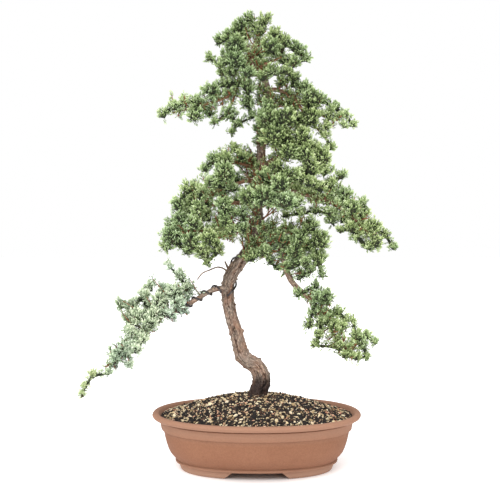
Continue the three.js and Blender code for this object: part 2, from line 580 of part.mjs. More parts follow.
// A helix round part of a limb, from one distance along it to another.
function helixLine(line, start, turns, pitch, phase, clearance) {
  const frames = carriedFrames(line);
  const steps = Math.round(Math.abs(turns) * WIRE_STEPS_A_TURN);
  const lengths = [0];
  for (let k = 1; k < line.length; k += 1) {
    lengths.push(lengths[k - 1] + line[k].middle.distanceTo(line[k - 1].middle));
  }
  return Array.from({ length: steps + 1 }, (_, k) => {
    const along = start + (k / steps) * Math.abs(turns) * pitch;
    let place = lengths.findIndex((value) => value > along) - 1;
    if (place < 0) place = line.length - 2;
    const share = (along - lengths[place]) / (lengths[place + 1] - lengths[place]);
    const middle = line[place].middle.clone().lerp(line[place + 1].middle, share);
    const side = frames[place].side.clone().lerp(frames[place + 1].side, share).normalize();
    const up = frames[place].up.clone().lerp(frames[place + 1].up, share).normalize();
    const angle = phase + Math.sign(turns) * (k / WIRE_STEPS_A_TURN) * 2 * Math.PI;
    const reach = mix(line[place].radius, line[place + 1].radius, share) + clearance;
    return middle.addScaledVector(side, reach * Math.cos(angle)).addScaledVector(up, reach * Math.sin(angle));
  });
}

function wireTube(points) {
  const line = points.map((middle, k) => {
    const before = points[Math.max(0, k - 1)];
    const after = points[Math.min(points.length - 1, k + 1)];
    return { middle, along: after.clone().sub(before).normalize(), radius: WIRE_RADIUS };
  });
  return solid(loft(tubeRings(line, WIRE_SIDES)));
}

const branchWireLine = helixLine(
  limbLines.low_left, BRANCH_WIRE_START, BRANCH_WIRE_TURNS, BRANCH_WIRE_PITCH, BRANCH_WIRE_PHASE, WIRE_CLEARANCE);
const trunkWireLine = helixLine(
  limbLines.trunk, TRUNK_WIRE_START, TRUNK_WIRE_TURNS, TRUNK_WIRE_PITCH, TRUNK_WIRE_PHASE,
  WIRE_CLEARANCE + TRUNK_BARK_ROOM);

// Foliage

function nearestOnSegment(a, b, p) {
  const along = b.clone().sub(a);
  const share = THREE.MathUtils.clamp(p.clone().sub(a).dot(along) / along.lengthSq(), 0, 1);
  return a.clone().addScaledVector(along, share);
}

// The faces between two rings, and the end fan on the last ring.
function stretchFaces(rings, k) {
  const [low, high] = [rings[k], rings[k + 1]];
  const sides = low.length;
  const end = high.reduce((sum, p) => sum.add(p), new THREE.Vector3()).divideScalar(sides);
  const faces = [];
  for (let i = 0; i < sides; i += 1) {
    const next = (i + 1) % sides;
    faces.push(new THREE.Triangle(low[i], low[next], high[next]));
    faces.push(new THREE.Triangle(low[i], high[next], high[i]));
    if (k + 2 === rings.length) faces.push(new THREE.Triangle(end, high[i], high[next]));
  }
  return faces;
}

// Stretches of wood that foliage keeps clear of: every limb, and the wire round the lowest left one.
const WIRE_ROOM = 2 * WIRE_RADIUS + WIRE_SAG + WOOD_GAP;
const WIRE_END = BRANCH_WIRE_START + (BRANCH_WIRE_TURNS + 0.5) * BRANCH_WIRE_PITCH;
const woodCapsules = [];
for (const [name, line] of Object.entries(limbLines)) {
  const swell = name === "trunk" ? 1 + BARK_RELIEF : 1;
  const rings = woodRings(name);
  let along = 0;
  for (let k = 0; k + 1 < line.length; k += 1) {
    const wired = name === "low_left" && along < WIRE_END;
    along += line[k].middle.distanceTo(line[k + 1].middle);
    const bare = Math.max(line[k].radius, line[k + 1].radius) * swell;
    woodCapsules.push({
      limb: name,
      a: line[k].middle,
      b: line[k + 1].middle,
      faces: stretchFaces(rings, k),
      wired,
      bare,
      radius: bare + (wired ? WIRE_ROOM : 0),
    });
  }
}

function nearestOnFaces(faces, p) {
  let best = { distance: Infinity };
  for (const face of faces) {
    const near = face.closestPointToPoint(p, new THREE.Vector3());
    const distance = near.distanceTo(p);
    if (distance < best.distance) best = { distance, near };
  }
  return best.near;
}

// A tuft's middle stays far enough off the wood for its heart to be whole.
function clearOfWood(middle, radius) {
  const place = middle.clone();
  for (let round = 0; round < 4; round += 1) {
    for (const capsule of woodCapsules) {
      const near = nearestOnSegment(capsule.a, capsule.b, place);
      const need = capsule.radius + WOOD_GAP + WOOD_CLEAR_SHARE * radius;
      const away = place.clone().sub(near);
      const distance = away.length();
      if (distance >= need) continue;
      if (distance < ON_THE_LINE) away.set(0, -0.4, 1);
      place.copy(near).addScaledVector(away.normalize(), need);
    }
  }
  return place;
}

const tufts = [];
for (const [spray, { tufts: rows }] of Object.entries(SPRAYS)) {
  for (const row of rows) {
    const middle = clearOfWood(point(row), row[3]);
    tufts.push({ spray, middle, radius: row[3] * TUFT_FULLNESS, links: [] });
  }
}

// Bends a straight stem round any limb in its way.
function bentRoute(a, b, thickness) {
  const count = STEM_BENDS + 1;
  const points = Array.from({ length: count + 1 }, (_, k) => a.clone().lerp(b, k / count));
  let moved = false;
  for (let k = 1; k < count; k += 1) {
    for (const capsule of woodCapsules) {
      const near = nearestOnSegment(capsule.a, capsule.b, points[k]);
      const away = points[k].clone().sub(near);
      const need = capsule.radius + thickness + 2 * WOOD_GAP;
      if (away.length() >= need) continue;
      if (away.length() < ON_THE_LINE) away.set(0, -1, 0.4);
      points[k].copy(near).addScaledVector(away.normalize(), need + STEM_BEND_ROOM);
      moved = true;
    }
  }
  return moved ? points.slice(1, -1) : [];
}

// The stems of one spray: from the nearest wood to the nearest tuft, and on to the next nearest.
const stems = [];

// Where a spray can sit on a stretch of wood: the nearest point, or, beside a wire, points on its faces
// from which a stem passes the wire.
function seatsOn(capsule, p) {
  if (!capsule.wired) {
    const near = nearestOnFaces(capsule.faces, p);
    return [{ near, tilt: 0 }];
  }
  return capsule.faces.map((face) => {
    const near = face.getMidpoint(new THREE.Vector3());
    const out = p.clone().sub(near).normalize();
    return { near, out, tilt: out.angleTo(face.getNormal(new THREE.Vector3())) };
  }).filter(({ near, out, tilt }) => {
    if (tilt > STEEPEST_SEAT) return false;
    const past = near.clone().addScaledVector(out, 2 * WIRE_ROOM);
    return branchWireLine.slice(1).every((b, k) => {
      const middle = nearestOnSegment(branchWireLine[k], b, near.clone().lerp(past, 0.3));
      const apart = nearestOnSegment(near, past, middle).distanceTo(middle);
      return apart > WIRE_RADIUS + ROOT_STEM_RADIUS + WIRE_SIDE_ROOM;
    });
  });
}

const buried = (near, limb) => woodCapsules.some((capsule) => capsule.limb !== limb
  && nearestOnSegment(capsule.a, capsule.b, near).distanceTo(near) < 0.95 * capsule.bare);

function addStem(spray, from, to, root) {
  const start = root ?? from.middle;
  const full = root ? 0 : to.radius * HEART_SHARE * Math.sin(STEM_RING);
  const thickness = Math.max(ROOT_STEM_RADIUS, full);
  const bends = root ? [] : bentRoute(start, to.middle, thickness);
  const stem = { spray, from, to, root, bends, thickness };
  if (from) from.links.push({ stem, toward: (bends[0] ?? to.middle).clone().sub(start).normalize() });
  to.links.push({ stem, toward: (bends.at(-1) ?? start).clone().sub(to.middle).normalize() });
  to.growth = to.middle.clone().sub(start).normalize();
  stems.push(stem);
}

function growStems(spray, limb) {
  const own = tufts.filter((tuft) => tuft.spray === spray);
  let best = { distance: Infinity };
  for (const tuft of own) {
    for (const capsule of woodCapsules.filter((each) => each.limb === limb)) {
      for (const { near, tilt } of seatsOn(capsule, tuft.middle)) {
        const distance = near.distanceTo(tuft.middle);
        if (distance < best.distance && !buried(near, limb)) best = { distance, tuft, near, tilt, capsule };
      }
    }
  }
  const out = best.tuft.middle.clone().sub(best.near).normalize();
  best.tuft.growth = out;
  // A heart that lies close to the wood reaches it with a corner and needs no stem of its own.
  if (!best.capsule.wired && best.distance - WOOD_GAP < SEAT_REACH * HEART_SHARE * best.tuft.radius) {
    best.tuft.seat = { toward: out.clone().negate(), reach: best.distance - WOOD_GAP };
  } else {
    const gap = (WOOD_GAP + ROOT_STEM_RADIUS * Math.sin(best.tilt)) / Math.cos(best.tilt);
    addStem(spray, null, best.tuft, best.near.clone().addScaledVector(out, gap));
  }
  const reached = [best.tuft];
  while (reached.length < own.length) {
    let link = { distance: Infinity };
    for (const from of reached) {
      for (const to of own.filter((tuft) => !reached.includes(tuft))) {
        const distance = from.middle.distanceTo(to.middle) + STEM_CROWD_COST * from.links.length;
        if (distance < link.distance) link = { distance, from, to };
      }
    }
    addStem(spray, link.from, link.to);
    reached.push(link.to);
  }
}

for (const [spray, { limb }] of Object.entries(SPRAYS)) growStems(spray, limb);

const stemPoints = ({ from, to, root, bends }) => [root ?? from.middle, ...bends, to.middle];

// Half spaces that keep a tuft off its neighbours, their stems and the wood.
function tuftLimits(tuft) {
  const limits = [];
  const reach = tuft.radius * TUFT_REACH;
  const keepOff = (near, radius, gap) => {
    const toward = near.clone().sub(tuft.middle);
    const distance = toward.length();
    if (distance - radius > reach) return;
    const limit = Math.max(SHORTEST_SHOOT, distance - radius - gap);
    limits.push({ normal: toward.divideScalar(distance), limit });
  };
  for (const capsule of woodCapsules) {
    const inner = nearestOnSegment(capsule.a, capsule.b, tuft.middle);
    if (capsule.wired) keepOff(inner, capsule.radius, WOOD_GAP);
    else if (inner.distanceTo(tuft.middle) - capsule.radius < reach) {
      keepOff(nearestOnFaces(capsule.faces, tuft.middle), 0, WOOD_GAP);
    }
  }
  for (const stem of stems) {
    if (stem.from === tuft || stem.to === tuft) continue;
    const line = stemPoints(stem);
    for (let k = 0; k + 1 < line.length; k += 1) {
      keepOff(nearestOnSegment(line[k], line[k + 1], tuft.middle), stem.thickness, TUFT_GAP);
    }
  }
  for (const other of tufts) {
    if (other === tuft) continue;
    const toward = other.middle.clone().sub(tuft.middle);
    const distance = toward.length();
    if (distance > TUFT_REACH * (tuft.radius + other.radius)) continue;
    const even = (distance ** 2 + tuft.radius ** 2 - other.radius ** 2) / (2 * distance);
    const share = THREE.MathUtils.clamp(even / distance, LEAST_GAP_SHARE, 1 - LEAST_GAP_SHARE);
    limits.push({ normal: toward.divideScalar(distance), limit: share * distance - TUFT_GAP });
  }
  return limits;
}

// The triangle of directions round a stem's own direction, the same way up at both its ends.
function stemTriangle(toward, axis) {
  const side = new THREE.Vector3(...STEM_REFERENCE).cross(axis).normalize();
  const up = new THREE.Vector3().crossVectors(axis, side);
  side.addScaledVector(toward, -side.dot(toward)).normalize();
  up.addScaledVector(toward, -up.dot(toward)).addScaledVector(side, -up.dot(side)).normalize();
  return STEM_TRIANGLE.map((angle) => toward.clone().multiplyScalar(Math.cos(STEM_RING))
    .addScaledVector(side, Math.sin(STEM_RING) * Math.cos(angle))
    .addScaledVector(up, Math.sin(STEM_RING) * Math.sin(angle)));
}

// Turns stems that leave a heart close together away from each other and from its seat.
function spaceStems(links, seat) {
  for (let round = 0; round < 30; round += 1) {
    for (const first of links) {
      if (seat && first.toward.angleTo(seat.toward) < STEM_SPACING) {
        const apart = first.toward.clone().sub(seat.toward).normalize();
        first.toward.addScaledVector(apart, STEM_SPACING_STEP).normalize();
      }
      for (const second of links) {
        if (first === second || first.toward.angleTo(second.toward) >= STEM_SPACING) continue;
        const apart = first.toward.clone().sub(second.toward).normalize().multiplyScalar(STEM_SPACING_STEP);
        first.toward.add(apart).normalize();
        second.toward.sub(apart).normalize();
      }
    }
  }
}

// Evenly spread directions, each moved a little, none of them in a stem's way.
function spreadDirections(count, links, seat, random) {
  const turn = new THREE.Quaternion().setFromEuler(
    new THREE.Euler(...[0, 1, 2].map(() => 2 * Math.PI * random())));
  const jitter = () => (DIRECTION_JITTER * (random() - 0.5)) / Math.sqrt(count);
  const free = [];
  for (let k = 0; k < count; k += 1) {
    const height = 1 - (2 * k + 1) / count;
    const angle = k * GOLDEN_ANGLE;
    const flat = Math.sqrt(1 - height ** 2);
    free.push(new THREE.Vector3(
      flat * Math.cos(angle) + jitter(), flat * Math.sin(angle) + jitter(), height + jitter(),
    ).normalize().applyQuaternion(turn));
  }
  const clear = (direction) => links.every(({ toward }) => direction.dot(toward) < Math.cos(STEM_CLEARING))
    && (!seat || direction.dot(seat.toward) < Math.cos(SEAT_CLEARING));
  return [...links.flatMap(({ triangle }) => triangle), ...(seat ? [seat.toward] : []), ...free.filter(clear)];
}

// Faces of the ball through the directions, with a direction added in the middle of a wide bare cap.
function ballFaces(directions) {
  for (let round = 0; round < 12; round += 1) {
    const hull = new ConvexGeometry(directions).attributes.position;
    const corner = (k) => new THREE.Vector3().fromBufferAttribute(hull, k);
    const find = (k) => {
      const here = corner(k);
      let best = 0;
      directions.forEach((each, index) => {
        if (each.distanceToSquared(here) < directions[best].distanceToSquared(here)) best = index;
      });
      return best;
    };
    let widest = { height: Infinity };
    const faces = [];
    for (let k = 0; k < hull.count; k += 3) {
      const face = new THREE.Triangle(corner(k), corner(k + 1), corner(k + 2));
      const normal = face.getNormal(new THREE.Vector3());
      const height = normal.dot(corner(k));
      if (height < widest.height) widest = { height, normal };
      faces.push([find(k), find(k + 1), find(k + 2)]);
    }
    if (widest.height > WIDEST_BARE_CAP) return faces;
    directions.push(widest.normal);
  }
  throw new Error("a tuft has no closed ball of directions");
}

function growTuft(tuft, vertices, faces, random) {
  const { middle, radius, growth, links, seat } = tuft;
  const wanted = Math.round((2 * Math.PI * radius ** 2) / SHOOT_AREA) + 2 - links.length;
  const count = THREE.MathUtils.clamp(wanted, FEWEST_DIRECTIONS, MOST_DIRECTIONS);
  spaceStems(links, seat);
  for (const link of links) {
    const axis = link.stem.to.middle.clone().sub(link.stem.root ?? link.stem.from.middle).normalize();
    link.triangle = stemTriangle(link.toward, axis);
  }
  const directions = spreadDirections(count, links, seat, random);
  const ball = ballFaces(directions);
  const limits = tuftLimits(tuft);
  const rise = growth.clone().add(new THREE.Vector3(0, 0, LIGHT_PULL)).normalize();
  const placed = (direction, reach, stretch) => {
    const offset = direction.clone().multiplyScalar(reach);
    offset.addScaledVector(rise, stretch * offset.dot(rise));
    let keep = 1;
    for (const { normal, limit } of limits) {
      const toward = offset.dot(normal);
      if (toward > limit) keep = Math.min(keep, limit / toward);
    }
    return offset.multiplyScalar(keep).add(middle);
  };
  const first = vertices.length;
  const ringCorners = 3 * links.length;
  directions.forEach((direction, k) => {
    const uneven = k < ringCorners ? 1 : mix(1 - CORNER_SPREAD, 1 + CORNER_SPREAD, random());
    const reach = seat && k === ringCorners ? seat.reach : radius * HEART_SHARE * uneven;
    vertices.push(placed(direction, reach, 0));
  });
  for (const [a, b, c] of ball) {
    const ring = Math.floor(a / 3);
    const sameRing = Math.floor(b / 3) === ring && Math.floor(c / 3) === ring;
    if (sameRing && ring < links.length) {
      links[ring].corners = [first + a, first + b, first + c];
      continue;
    }
    const tip = new THREE.Vector3();
    for (const corner of [a, b, c]) {
      const lean = 1 + TIP_LEAN * directions[corner].dot(rise) + TIP_WANDER * (random() - 0.5);
      tip.addScaledVector(directions[corner], Math.max(TIP_WANDER, lean));
    }
    const reach = radius * mix(1 - SHOOT_SPREAD, 1 + SHOOT_SPREAD, random());
    const top = vertices.push(placed(tip.normalize(), reach, GROWTH_STRETCH)) - 1;
    for (const [from, to] of [[a, b], [b, c], [c, a]]) faces.push([first + from, first + to, top]);
  }
}

// Walls of a three-sided stem between two triangles of corners.
function stemWalls(near, far, faces) {
  for (let k = 0; k < 3; k += 1) {
    const next = (k + 1) % 3;
    faces.push([near[k], near[next], far[next]], [near[k], far[next], far[k]]);
  }
}

function growStem(stem, vertices, faces) {
  const end = stem.to.links.find((link) => link.stem === stem);
  const axis = stem.to.middle.clone().sub(stem.root ?? stem.from.middle).normalize();
  const ringAt = (middle, order) => {
    const flat = stemTriangle(new THREE.Vector3(), axis);
    return order.map((k) => vertices.push(
      middle.clone().addScaledVector(flat[k], stem.thickness / Math.sin(STEM_RING))) - 1);
  };
  // The order of the ring's corners, as the ball's own face gave it.
  const base = end.stem.to.links.indexOf(end) * 3;
  const order = end.corners.map((corner) => corner - end.firstCorner - base);
  let near = end.corners;
  for (const bend of [...stem.bends].reverse()) {
    const far = ringAt(bend, order);
    stemWalls(near, far, faces);
    near = far;
  }
  if (stem.root) {
    const far = ringAt(stem.root, order);
    stemWalls(near, far, faces);
    faces.push(far);
    return;
  }
  const start = stem.from.links.find((link) => link.stem === stem);
  const startBase = stem.from.links.indexOf(start) * 3;
  stemWalls(near, order.map((k) => start.firstCorner + startBase + k), faces);
}

function makeSpray(spray, seed) {
  const random = seededRandom(seed);
  const vertices = [];
  const faces = [];
  for (const tuft of tufts.filter((each) => each.spray === spray)) {
    for (const link of tuft.links) link.firstCorner = vertices.length;
    growTuft(tuft, vertices, faces, random);
  }
  for (const stem of stems.filter((each) => each.spray === spray)) growStem(stem, vertices, faces);
  return solid(indexed(vertices, faces));
}

// Assembly

const bonsai = new THREE.Group();
const place = (shape, name, look) => bonsai.add(finished(shape, name, look));

place(makePot(), "pot", CLAY);
place(makeScreen(-DRAIN_OFFSET), "drain_screen_left", PLASTIC);
place(makeScreen(DRAIN_OFFSET), "drain_screen_right", PLASTIC);
place(makeSoil(), "soil", SOIL);
place(woodShape(), "trunk_and_branches", BARK);
place(wireTube(branchWireLine), "branch_wire", WIRE);
place(wireTube(trunkWireLine), "trunk_wire", WIRE);

Object.keys(SPRAYS).forEach((spray, k) => {
  const color = spray.startsWith("low_left") ? LEAF_BLUE_GREEN : LEAF_GREENS[k % LEAF_GREENS.length];
  place(makeSpray(spray, TUFT_SEED + k), `foliage_${spray}`, { color, roughness: 0.9, metalness: 0 });
});

const box = new THREE.Box3().setFromObject(bonsai);
bonsai.position.set(-(box.min.x + box.max.x) / 2, -(box.min.y + box.max.y) / 2, -box.min.z);

export default bonsai;
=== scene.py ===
# Green mound juniper bonsai in its oval clay pot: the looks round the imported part.
# Metres, +Z up, seen from -Y. Rows of places are in millimetres from the middle of the pot's
# footprint, as in the part's own source, and at() turns them into the frame's metres.

import math
import random

import bmesh
import bpy
import numpy as np
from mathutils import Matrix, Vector, noise


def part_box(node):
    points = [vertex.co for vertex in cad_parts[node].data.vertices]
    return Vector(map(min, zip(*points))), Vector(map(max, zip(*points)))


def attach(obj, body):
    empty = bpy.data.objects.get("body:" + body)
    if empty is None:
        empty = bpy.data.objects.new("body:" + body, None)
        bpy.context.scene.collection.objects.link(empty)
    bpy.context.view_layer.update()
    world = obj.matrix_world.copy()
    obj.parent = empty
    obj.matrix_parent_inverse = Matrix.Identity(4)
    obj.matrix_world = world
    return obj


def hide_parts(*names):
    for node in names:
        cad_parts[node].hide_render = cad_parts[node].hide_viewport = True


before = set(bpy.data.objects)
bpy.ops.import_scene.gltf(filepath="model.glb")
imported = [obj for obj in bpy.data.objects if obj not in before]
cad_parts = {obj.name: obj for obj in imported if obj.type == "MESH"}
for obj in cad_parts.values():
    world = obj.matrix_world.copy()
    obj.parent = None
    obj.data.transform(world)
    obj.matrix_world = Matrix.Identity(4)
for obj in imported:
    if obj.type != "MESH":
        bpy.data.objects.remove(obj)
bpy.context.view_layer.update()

MM = 0.001
WHITE = (1, 1, 1, 1)
GOLDEN_ANGLE = math.pi * (3 - math.sqrt(5))
pot_low, pot_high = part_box("pot")
POT_MIDDLE = np.array([(pot_low.x + pot_high.x) / 2, (pot_low.y + pot_high.y) / 2, 0])

# Camera: nearly level with the middle of the tree, straight in front of it.
CAMERA_PLACE = [-9.6, -1250, 318]
CAMERA_LENS = 61.2
CAMERA_SENSOR = 36

# Stage. The floor glows away from the pot, as painted light that washes out its shadows, but not near it,
# which leaves a contact shadow: from nothing to all of it, in metres from the middle.
FLOOR_SIZE = 60
FLOOR_TONE = [248, 248, 248]
FLOOR_GLOW = 0.42
GLOW_EDGE = [0.085, 0.13]
ROOM_LIGHT = 0.32

# Soft lights: name, which way they shine, spread in degrees, strength.
SUNS = [
    ["key", (0.35, 0.65, -0.8), 50, 2.6],
    ["fill", (-0.55, 0.7, -0.5), 100, 1.0],
    ["top", (-0.1, -0.2, -1), 140, 1.2],
]

# Pot, from the part's own profile: inset from the rim's outer edge, height.
POT_HALF_LENGTH = 152.5
POT_HALF_DEPTH = 121
POT_HEIGHT = 82
POT_SIDES = 128
LONG_WALL_LEAN = 1.15
OVAL_POWER_FOOT = 2.25
OVAL_POWER_RIM = 2.15
RIM_BAND = 11
FOOT_HEIGHT = 7.5
FLOOR_TOP = 17
POT_OUTSIDE = [
    [43.5, 0], [42.4, 0.3], [41.6, 1.2], [40.2, 5], [38.8, 9.4], [38.4, 10.8], [35, 11.2],
    [34.2, 11.8], [33.8, 12.8], [34.2, 13.8], [35, 14.5], [35.8, 15.2], [33, 17.8], [29.2, 22],
    [26, 26], [23.2, 32], [20.8, 39], [18.9, 46], [17.4, 53], [16.8, 58], [14.2, 58.5],
    [13.5, 59], [13.1, 60], [12.2, 65], [11.4, 70], [11.2, 70.8], [12.4, 71.4], [12.4, 73],
    [6.4, 73.4], [3.8, 74], [1.8, 75.2], [0.6, 76.8], [0, 78.4], [0.5, 80], [1.6, 81.2],
    [3.2, 81.9], [5, POT_HEIGHT],
]
POT_INSIDE = [
    [7, 81.9], [8.6, 81.3], [9.8, 80.2], [11.5, 77], [16, 68], [27, 44], [44, FLOOR_TOP],
]
SHARPEST_ROUNDED = math.radians(32)
FOOT_RING_WIDTH = 13
RECESS_LEAN = 1.5
RECESS_EDGE = 6
FLOOR_EDGE = 8
NOTCH_HEIGHT = 9.4
NOTCH_WIDTH_TOP = 70
NOTCH_WIDTH_GROUND = 92
DRAIN_RADIUS = 7.5
DRAIN_OFFSET = 58
DRAIN_SIDES = 32
CUT_PAST = 2

# Soil: the mound, and the grit that lies on it. Limits by chance are for length, width, height.
SOIL_EDGE_HEIGHT = 77
SOIL_RISE = 30
SOIL_CURVE = 1.35
SOIL_GAP = 0.5
SOIL_WALLS = [[44, FLOOR_TOP + SOIL_GAP], [27, 44], [16, 68], [12.6, SOIL_EDGE_HEIGHT]]
SOIL_RINGS = 44
SOIL_SIDES = 128
SOIL_ROUGHNESS = 1.1
COARSE_GRAIN = 5.2
COARSE_KINDS = 6
FINE_GRAIN = 2.8
FINE_KINDS = 4
GRAIN_STRETCHES = [[0.8, 1.3], [0.6, 1.0], [0.5, 0.85]]
GRAIN_WANDER = [0.75, 1.2]
GRAIN_LEAST = (0.6, 0.5, 0.6)
GRAIN_MOST = (1.6, 1.4, 1.3)
GRAIN_TURNS = (0.9, 0.9, 2 * math.pi)
COARSE_GRAINS_APART = 5
FINE_GRAINS_APART = 2.6
GRIT_STEEPEST = 0.5

# Places tried for each square metre, before those that stand too close are left out.
GRIT_TRIES = 400000
HEART_TRIES = 200000
LIMB_TRIES = 1000000

# Wood. Damp bark dries out between two heights, which are in metres.
TRUNK_SIDES = 48
LIMB_SIDES = 14
TRUNK_STEP = 2
LIMB_STEP = 4
LIMB_TAPER = 0.8
KNOT_HEIGHT = 8
KNOT_RARITY = 0.32
CRUST_HEIGHT = 0.8
# How strongly the bark's relief paints shade into its fissures.
RELIEF_SHADE = 0.55
THICK_WOOD = 10
DAMP_BARK = [0.138, 0.152]
COLLAR_SWELL = 0.55
COLLAR_LENGTH = 2.6

# Wire: the piece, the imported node, the limb, start along it, turns, pitch, phase, gap to the bark.
WIRE_RADIUS = 1.45
WIRE_SIDES = 10
WIRE_STEPS_A_TURN = 22
WIRES = [
    ["branch_wire_coil", "branch_wire", "low_left", 15, 11.5, 17, 1, 0.35],
    ["trunk_wire_turn", "trunk_wire", "trunk", 205, 1.1, 66, 3.1, 1],
]

# Shoots: short fingers of overlapping leaves, set on the points and the hearts of the part's foliage.
SHOOT_KINDS = 6
SHOOT_LENGTH = 8.4
SHOOT_WHORLS = 2
SHOOT_BEND = 0.12
LEAVES_A_WHORL = 2
SHOOT_SIZES = [0.7, 1.25]
LEAF_LENGTH = 4.4
LEAF_WIDTH = 1.45
LEAF_CORNERS = [1, 0.7, 0.7]
LEAF_LEANS = [30, 18]
LEAF_SIZES = [0.8, 1.2]
LEAF_TURNS = 0.3
LEAF_TONES = 0.22
LEAF_END_YOUNGER = 0.24
LEAF_FOOT_OLDER = 0.32
LOW_LEAF_YOUTH = 0.2
HIGH_LEAVES_YOUNGER = 0.3
TIP_LEAF_YOUTH = 0.6

# Shoots by where they stand: the leading one on a point, those at its sides, those on a spray's
# heart, and those along limbs and twigs. Tones run from dark to pale, and the darker tones of the
# heart shoots are painted shade deep in the spray. Feet lie so many shoot lengths back from a
# point, and spreads say how far shoots stray from their heading.
LEAD_TONES = [0.45, 0.85]
SIDE_TONES = [0.3, 0.7]
SHADED_HEART_TONES = [0, 0.4]
LIMB_TONES = [0.15, 0.65]
SPRIG_TONES = [-0.4, 0.3]
SIDE_SHOOTS = 4
LEAD_SHOOTS_BACK = [1.15, 1.25]
SIDE_SHOOTS_BACK = [1.1, 2]
LEAD_SPREAD = 0.15
SIDE_SPREAD = 0.65
HEART_SPREAD = 0.55
HEART_APART = 2.5
SHOOT_RISE = 0.8
POINT_KEPT = 0.12
LIMB_SHOOTS_APART = 2.3
TWIG_SHOOTS_APART = 1.5
LOW_LEFT_SHOOTS_APART = 1.2
LOW_LEFT_SIZES = [0.75, 1.25]
LOW_LEFT_TIP_SIZES = [0.65, 1.05]
LOW_LEFT_HEART_APART = 2.3

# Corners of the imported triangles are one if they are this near, in metres.
WELD_WITHIN = 0.00002

# How young leaves are, from 0 for the oldest, darkened as painted shade deep in a spray, and their
# screen colours there. Some places have warmer leaves and some cooler ones.
LEAF_YOUTHS = [0.05, 0.4, 0.72, 0.95]
GREEN_TONES = [(30, 41, 21), (129, 150, 93), (194, 211, 156), (224, 233, 198)]
BLUE_GREEN_TONES = [(60, 76, 58), (162, 181, 152), (214, 227, 206), (240, 246, 232)]
WARM_LEAVES = (1, 1, 0.88, 1)
COOL_LEAVES = (0.92, 0.98, 1, 1)

# The leaves of the lowest left branch turn yellow from here to there along X, in metres.
YELLOWED_END = [-0.165, -0.215]
YELLOWED = (1, 0.96, 0.66, 1)

# Leaves are younger away from the trunk: from here to there, in metres, and by how much.
YOUNGER_STRETCH = [0.03, 0.13]
YOUNGER_BY = 0.13

# The stretch of a limb that is bare, in shares of its length, and how soon leaves are thick past it.
BARE_STRETCH = [0, 0.15]
BARE_STRETCHES = {
    "arching_twig": [0, 1], "dead_stub": [0, 1], "low_left": [0, 0.4], "lower_right": [0.42, 0.58],
    "left_upper_twig": [0, 0.7], "left_outer_twig": [0, 0.45], "left_lower_limb": [0, 0.3],
}
LEAFY_SLOPE = 0.15

# Bark that looks older than it is thick.
AGED_LIMBS = {"low_left": 1.5, "arching_twig": 6, "dead_stub": 3}

# Fine twigs: limb, from and to which row of its route, how many, shortest, longest, lean, bare share.
FINE_TWIG_RADII = [1.1, 0.5]
FINE_TWIG_RINGS = 5
FINE_TWIG_SIDES = 4
FINE_TWIG_AGE = 0.5
FORK_LENGTH = 0.55
FORK_THICKNESS = 0.8
FORK_BARE = 0.3
FINE_TWIGS = [
    ["trunk", 12.4, 14, 14, 18, 32, [0.35, -0.6, 0.2], 0.6],
    ["trunk", 13.1, 14.4, 12, 12, 20, [0.3, -1.2, -0.2], 0.1],
    ["trunk", 13.2, 16.8, 30, 18, 40, [0.15, -0.25, 0.1], 0.75],
    ["trunk", 16.8, 18.6, 14, 20, 34, [-0.1, -0.3, 0.1], 0.7],
    ["trunk", 18, 19.2, 12, 22, 38, [-1.1, 0.7, 0], 0.3],
    ["trunk", 20, 21.6, 28, 12, 22, [0.4, -1.2, 0], 0.1],
    ["trunk", 20.4, 22.6, 16, 18, 34, [0.9, -0.6, 0.1], 0.25],
    ["trunk", 22.3, 23.6, 10, 12, 18, [-1.1, -0.4, -0.3], 0.2],
    ["trunk", 24, 28.6, 20, 14, 26, [0, -0.1, 0.3], 0.25],
    ["right_long", 0.8, 7, 32, 12, 22, [0, -0.1, 0.05], 0.15],
    ["right_back", 0.5, 2.8, 10, 14, 26, [0, 0, 0.1], 0.15],
    ["lower_right", 0.6, 4.6, 20, 16, 30, [0.2, -0.3, 0], 0.2],
    ["lower_right", 6.2, 7.4, 6, 10, 18, [0, 0, 0.1], 0.2],
    ["lower_right", 7.6, 12, 30, 12, 24, [0.1, 0, 0.2], 0.15],
    ["shoulder_right", 0.4, 1.9, 8, 14, 26, [0, -0.2, 0.1], 0.15],
    ["lower_right_back", 0.4, 2.9, 8, 14, 24, [0, 0, 0], 0.15],
    ["upper_right", 1, 6.6, 18, 10, 20, [0, -0.1, 0.2], 0.15],
    ["upper_left", 1, 6.8, 24, 10, 20, [0, -0.1, 0.2], 0.15],
    ["left_upper_twig", 0.5, 1.6, 9, 12, 20, [0.1, 0.3, 1], 0.25],
    ["left_upper_twig", 1.6, 2.9, 8, 14, 24, [-0.3, -0.1, 0.4], 0.4],
    ["left_outer_twig", 1.7, 3.9, 14, 14, 26, [-0.2, -0.1, 0.1], 0.3],
    ["left_lower_limb", 1, 4.9, 18, 14, 26, [0, -0.1, 0.1], 0.25],
    ["left_lower_limb", 1.3, 2.6, 10, 20, 32, [0.1, 0, -1.3], 0.15],
    ["under_twig", 0.8, 1.9, 9, 12, 22, [0, 0, -1.3], 0.15],
    ["front_upper_limb", 0.8, 2.9, 8, 14, 24, [0, -0.2, 0.1], 0.15],
    ["front_right_limb", 0.8, 2.9, 10, 14, 24, [0, -0.2, 0.1], 0.15],
    ["front_limb", 0.8, 2.9, 12, 14, 26, [0, -0.2, 0.1], 0.15],
    ["back_limb", 0.8, 2.9, 10, 14, 24, [0, 0.1, 0.1], 0.15],
    ["back_upper_limb", 0.8, 2.9, 8, 14, 24, [0, 0.1, 0.1], 0.15],
    ["back_left_limb", 0.8, 2.9, 8, 14, 24, [0, 0.1, 0.1], 0.15],
]
LOW_LEFT_TWIGS = [["low_left", 4, 11, 36, 10, 20, [0, -0.1, 0.3], 0.15]]

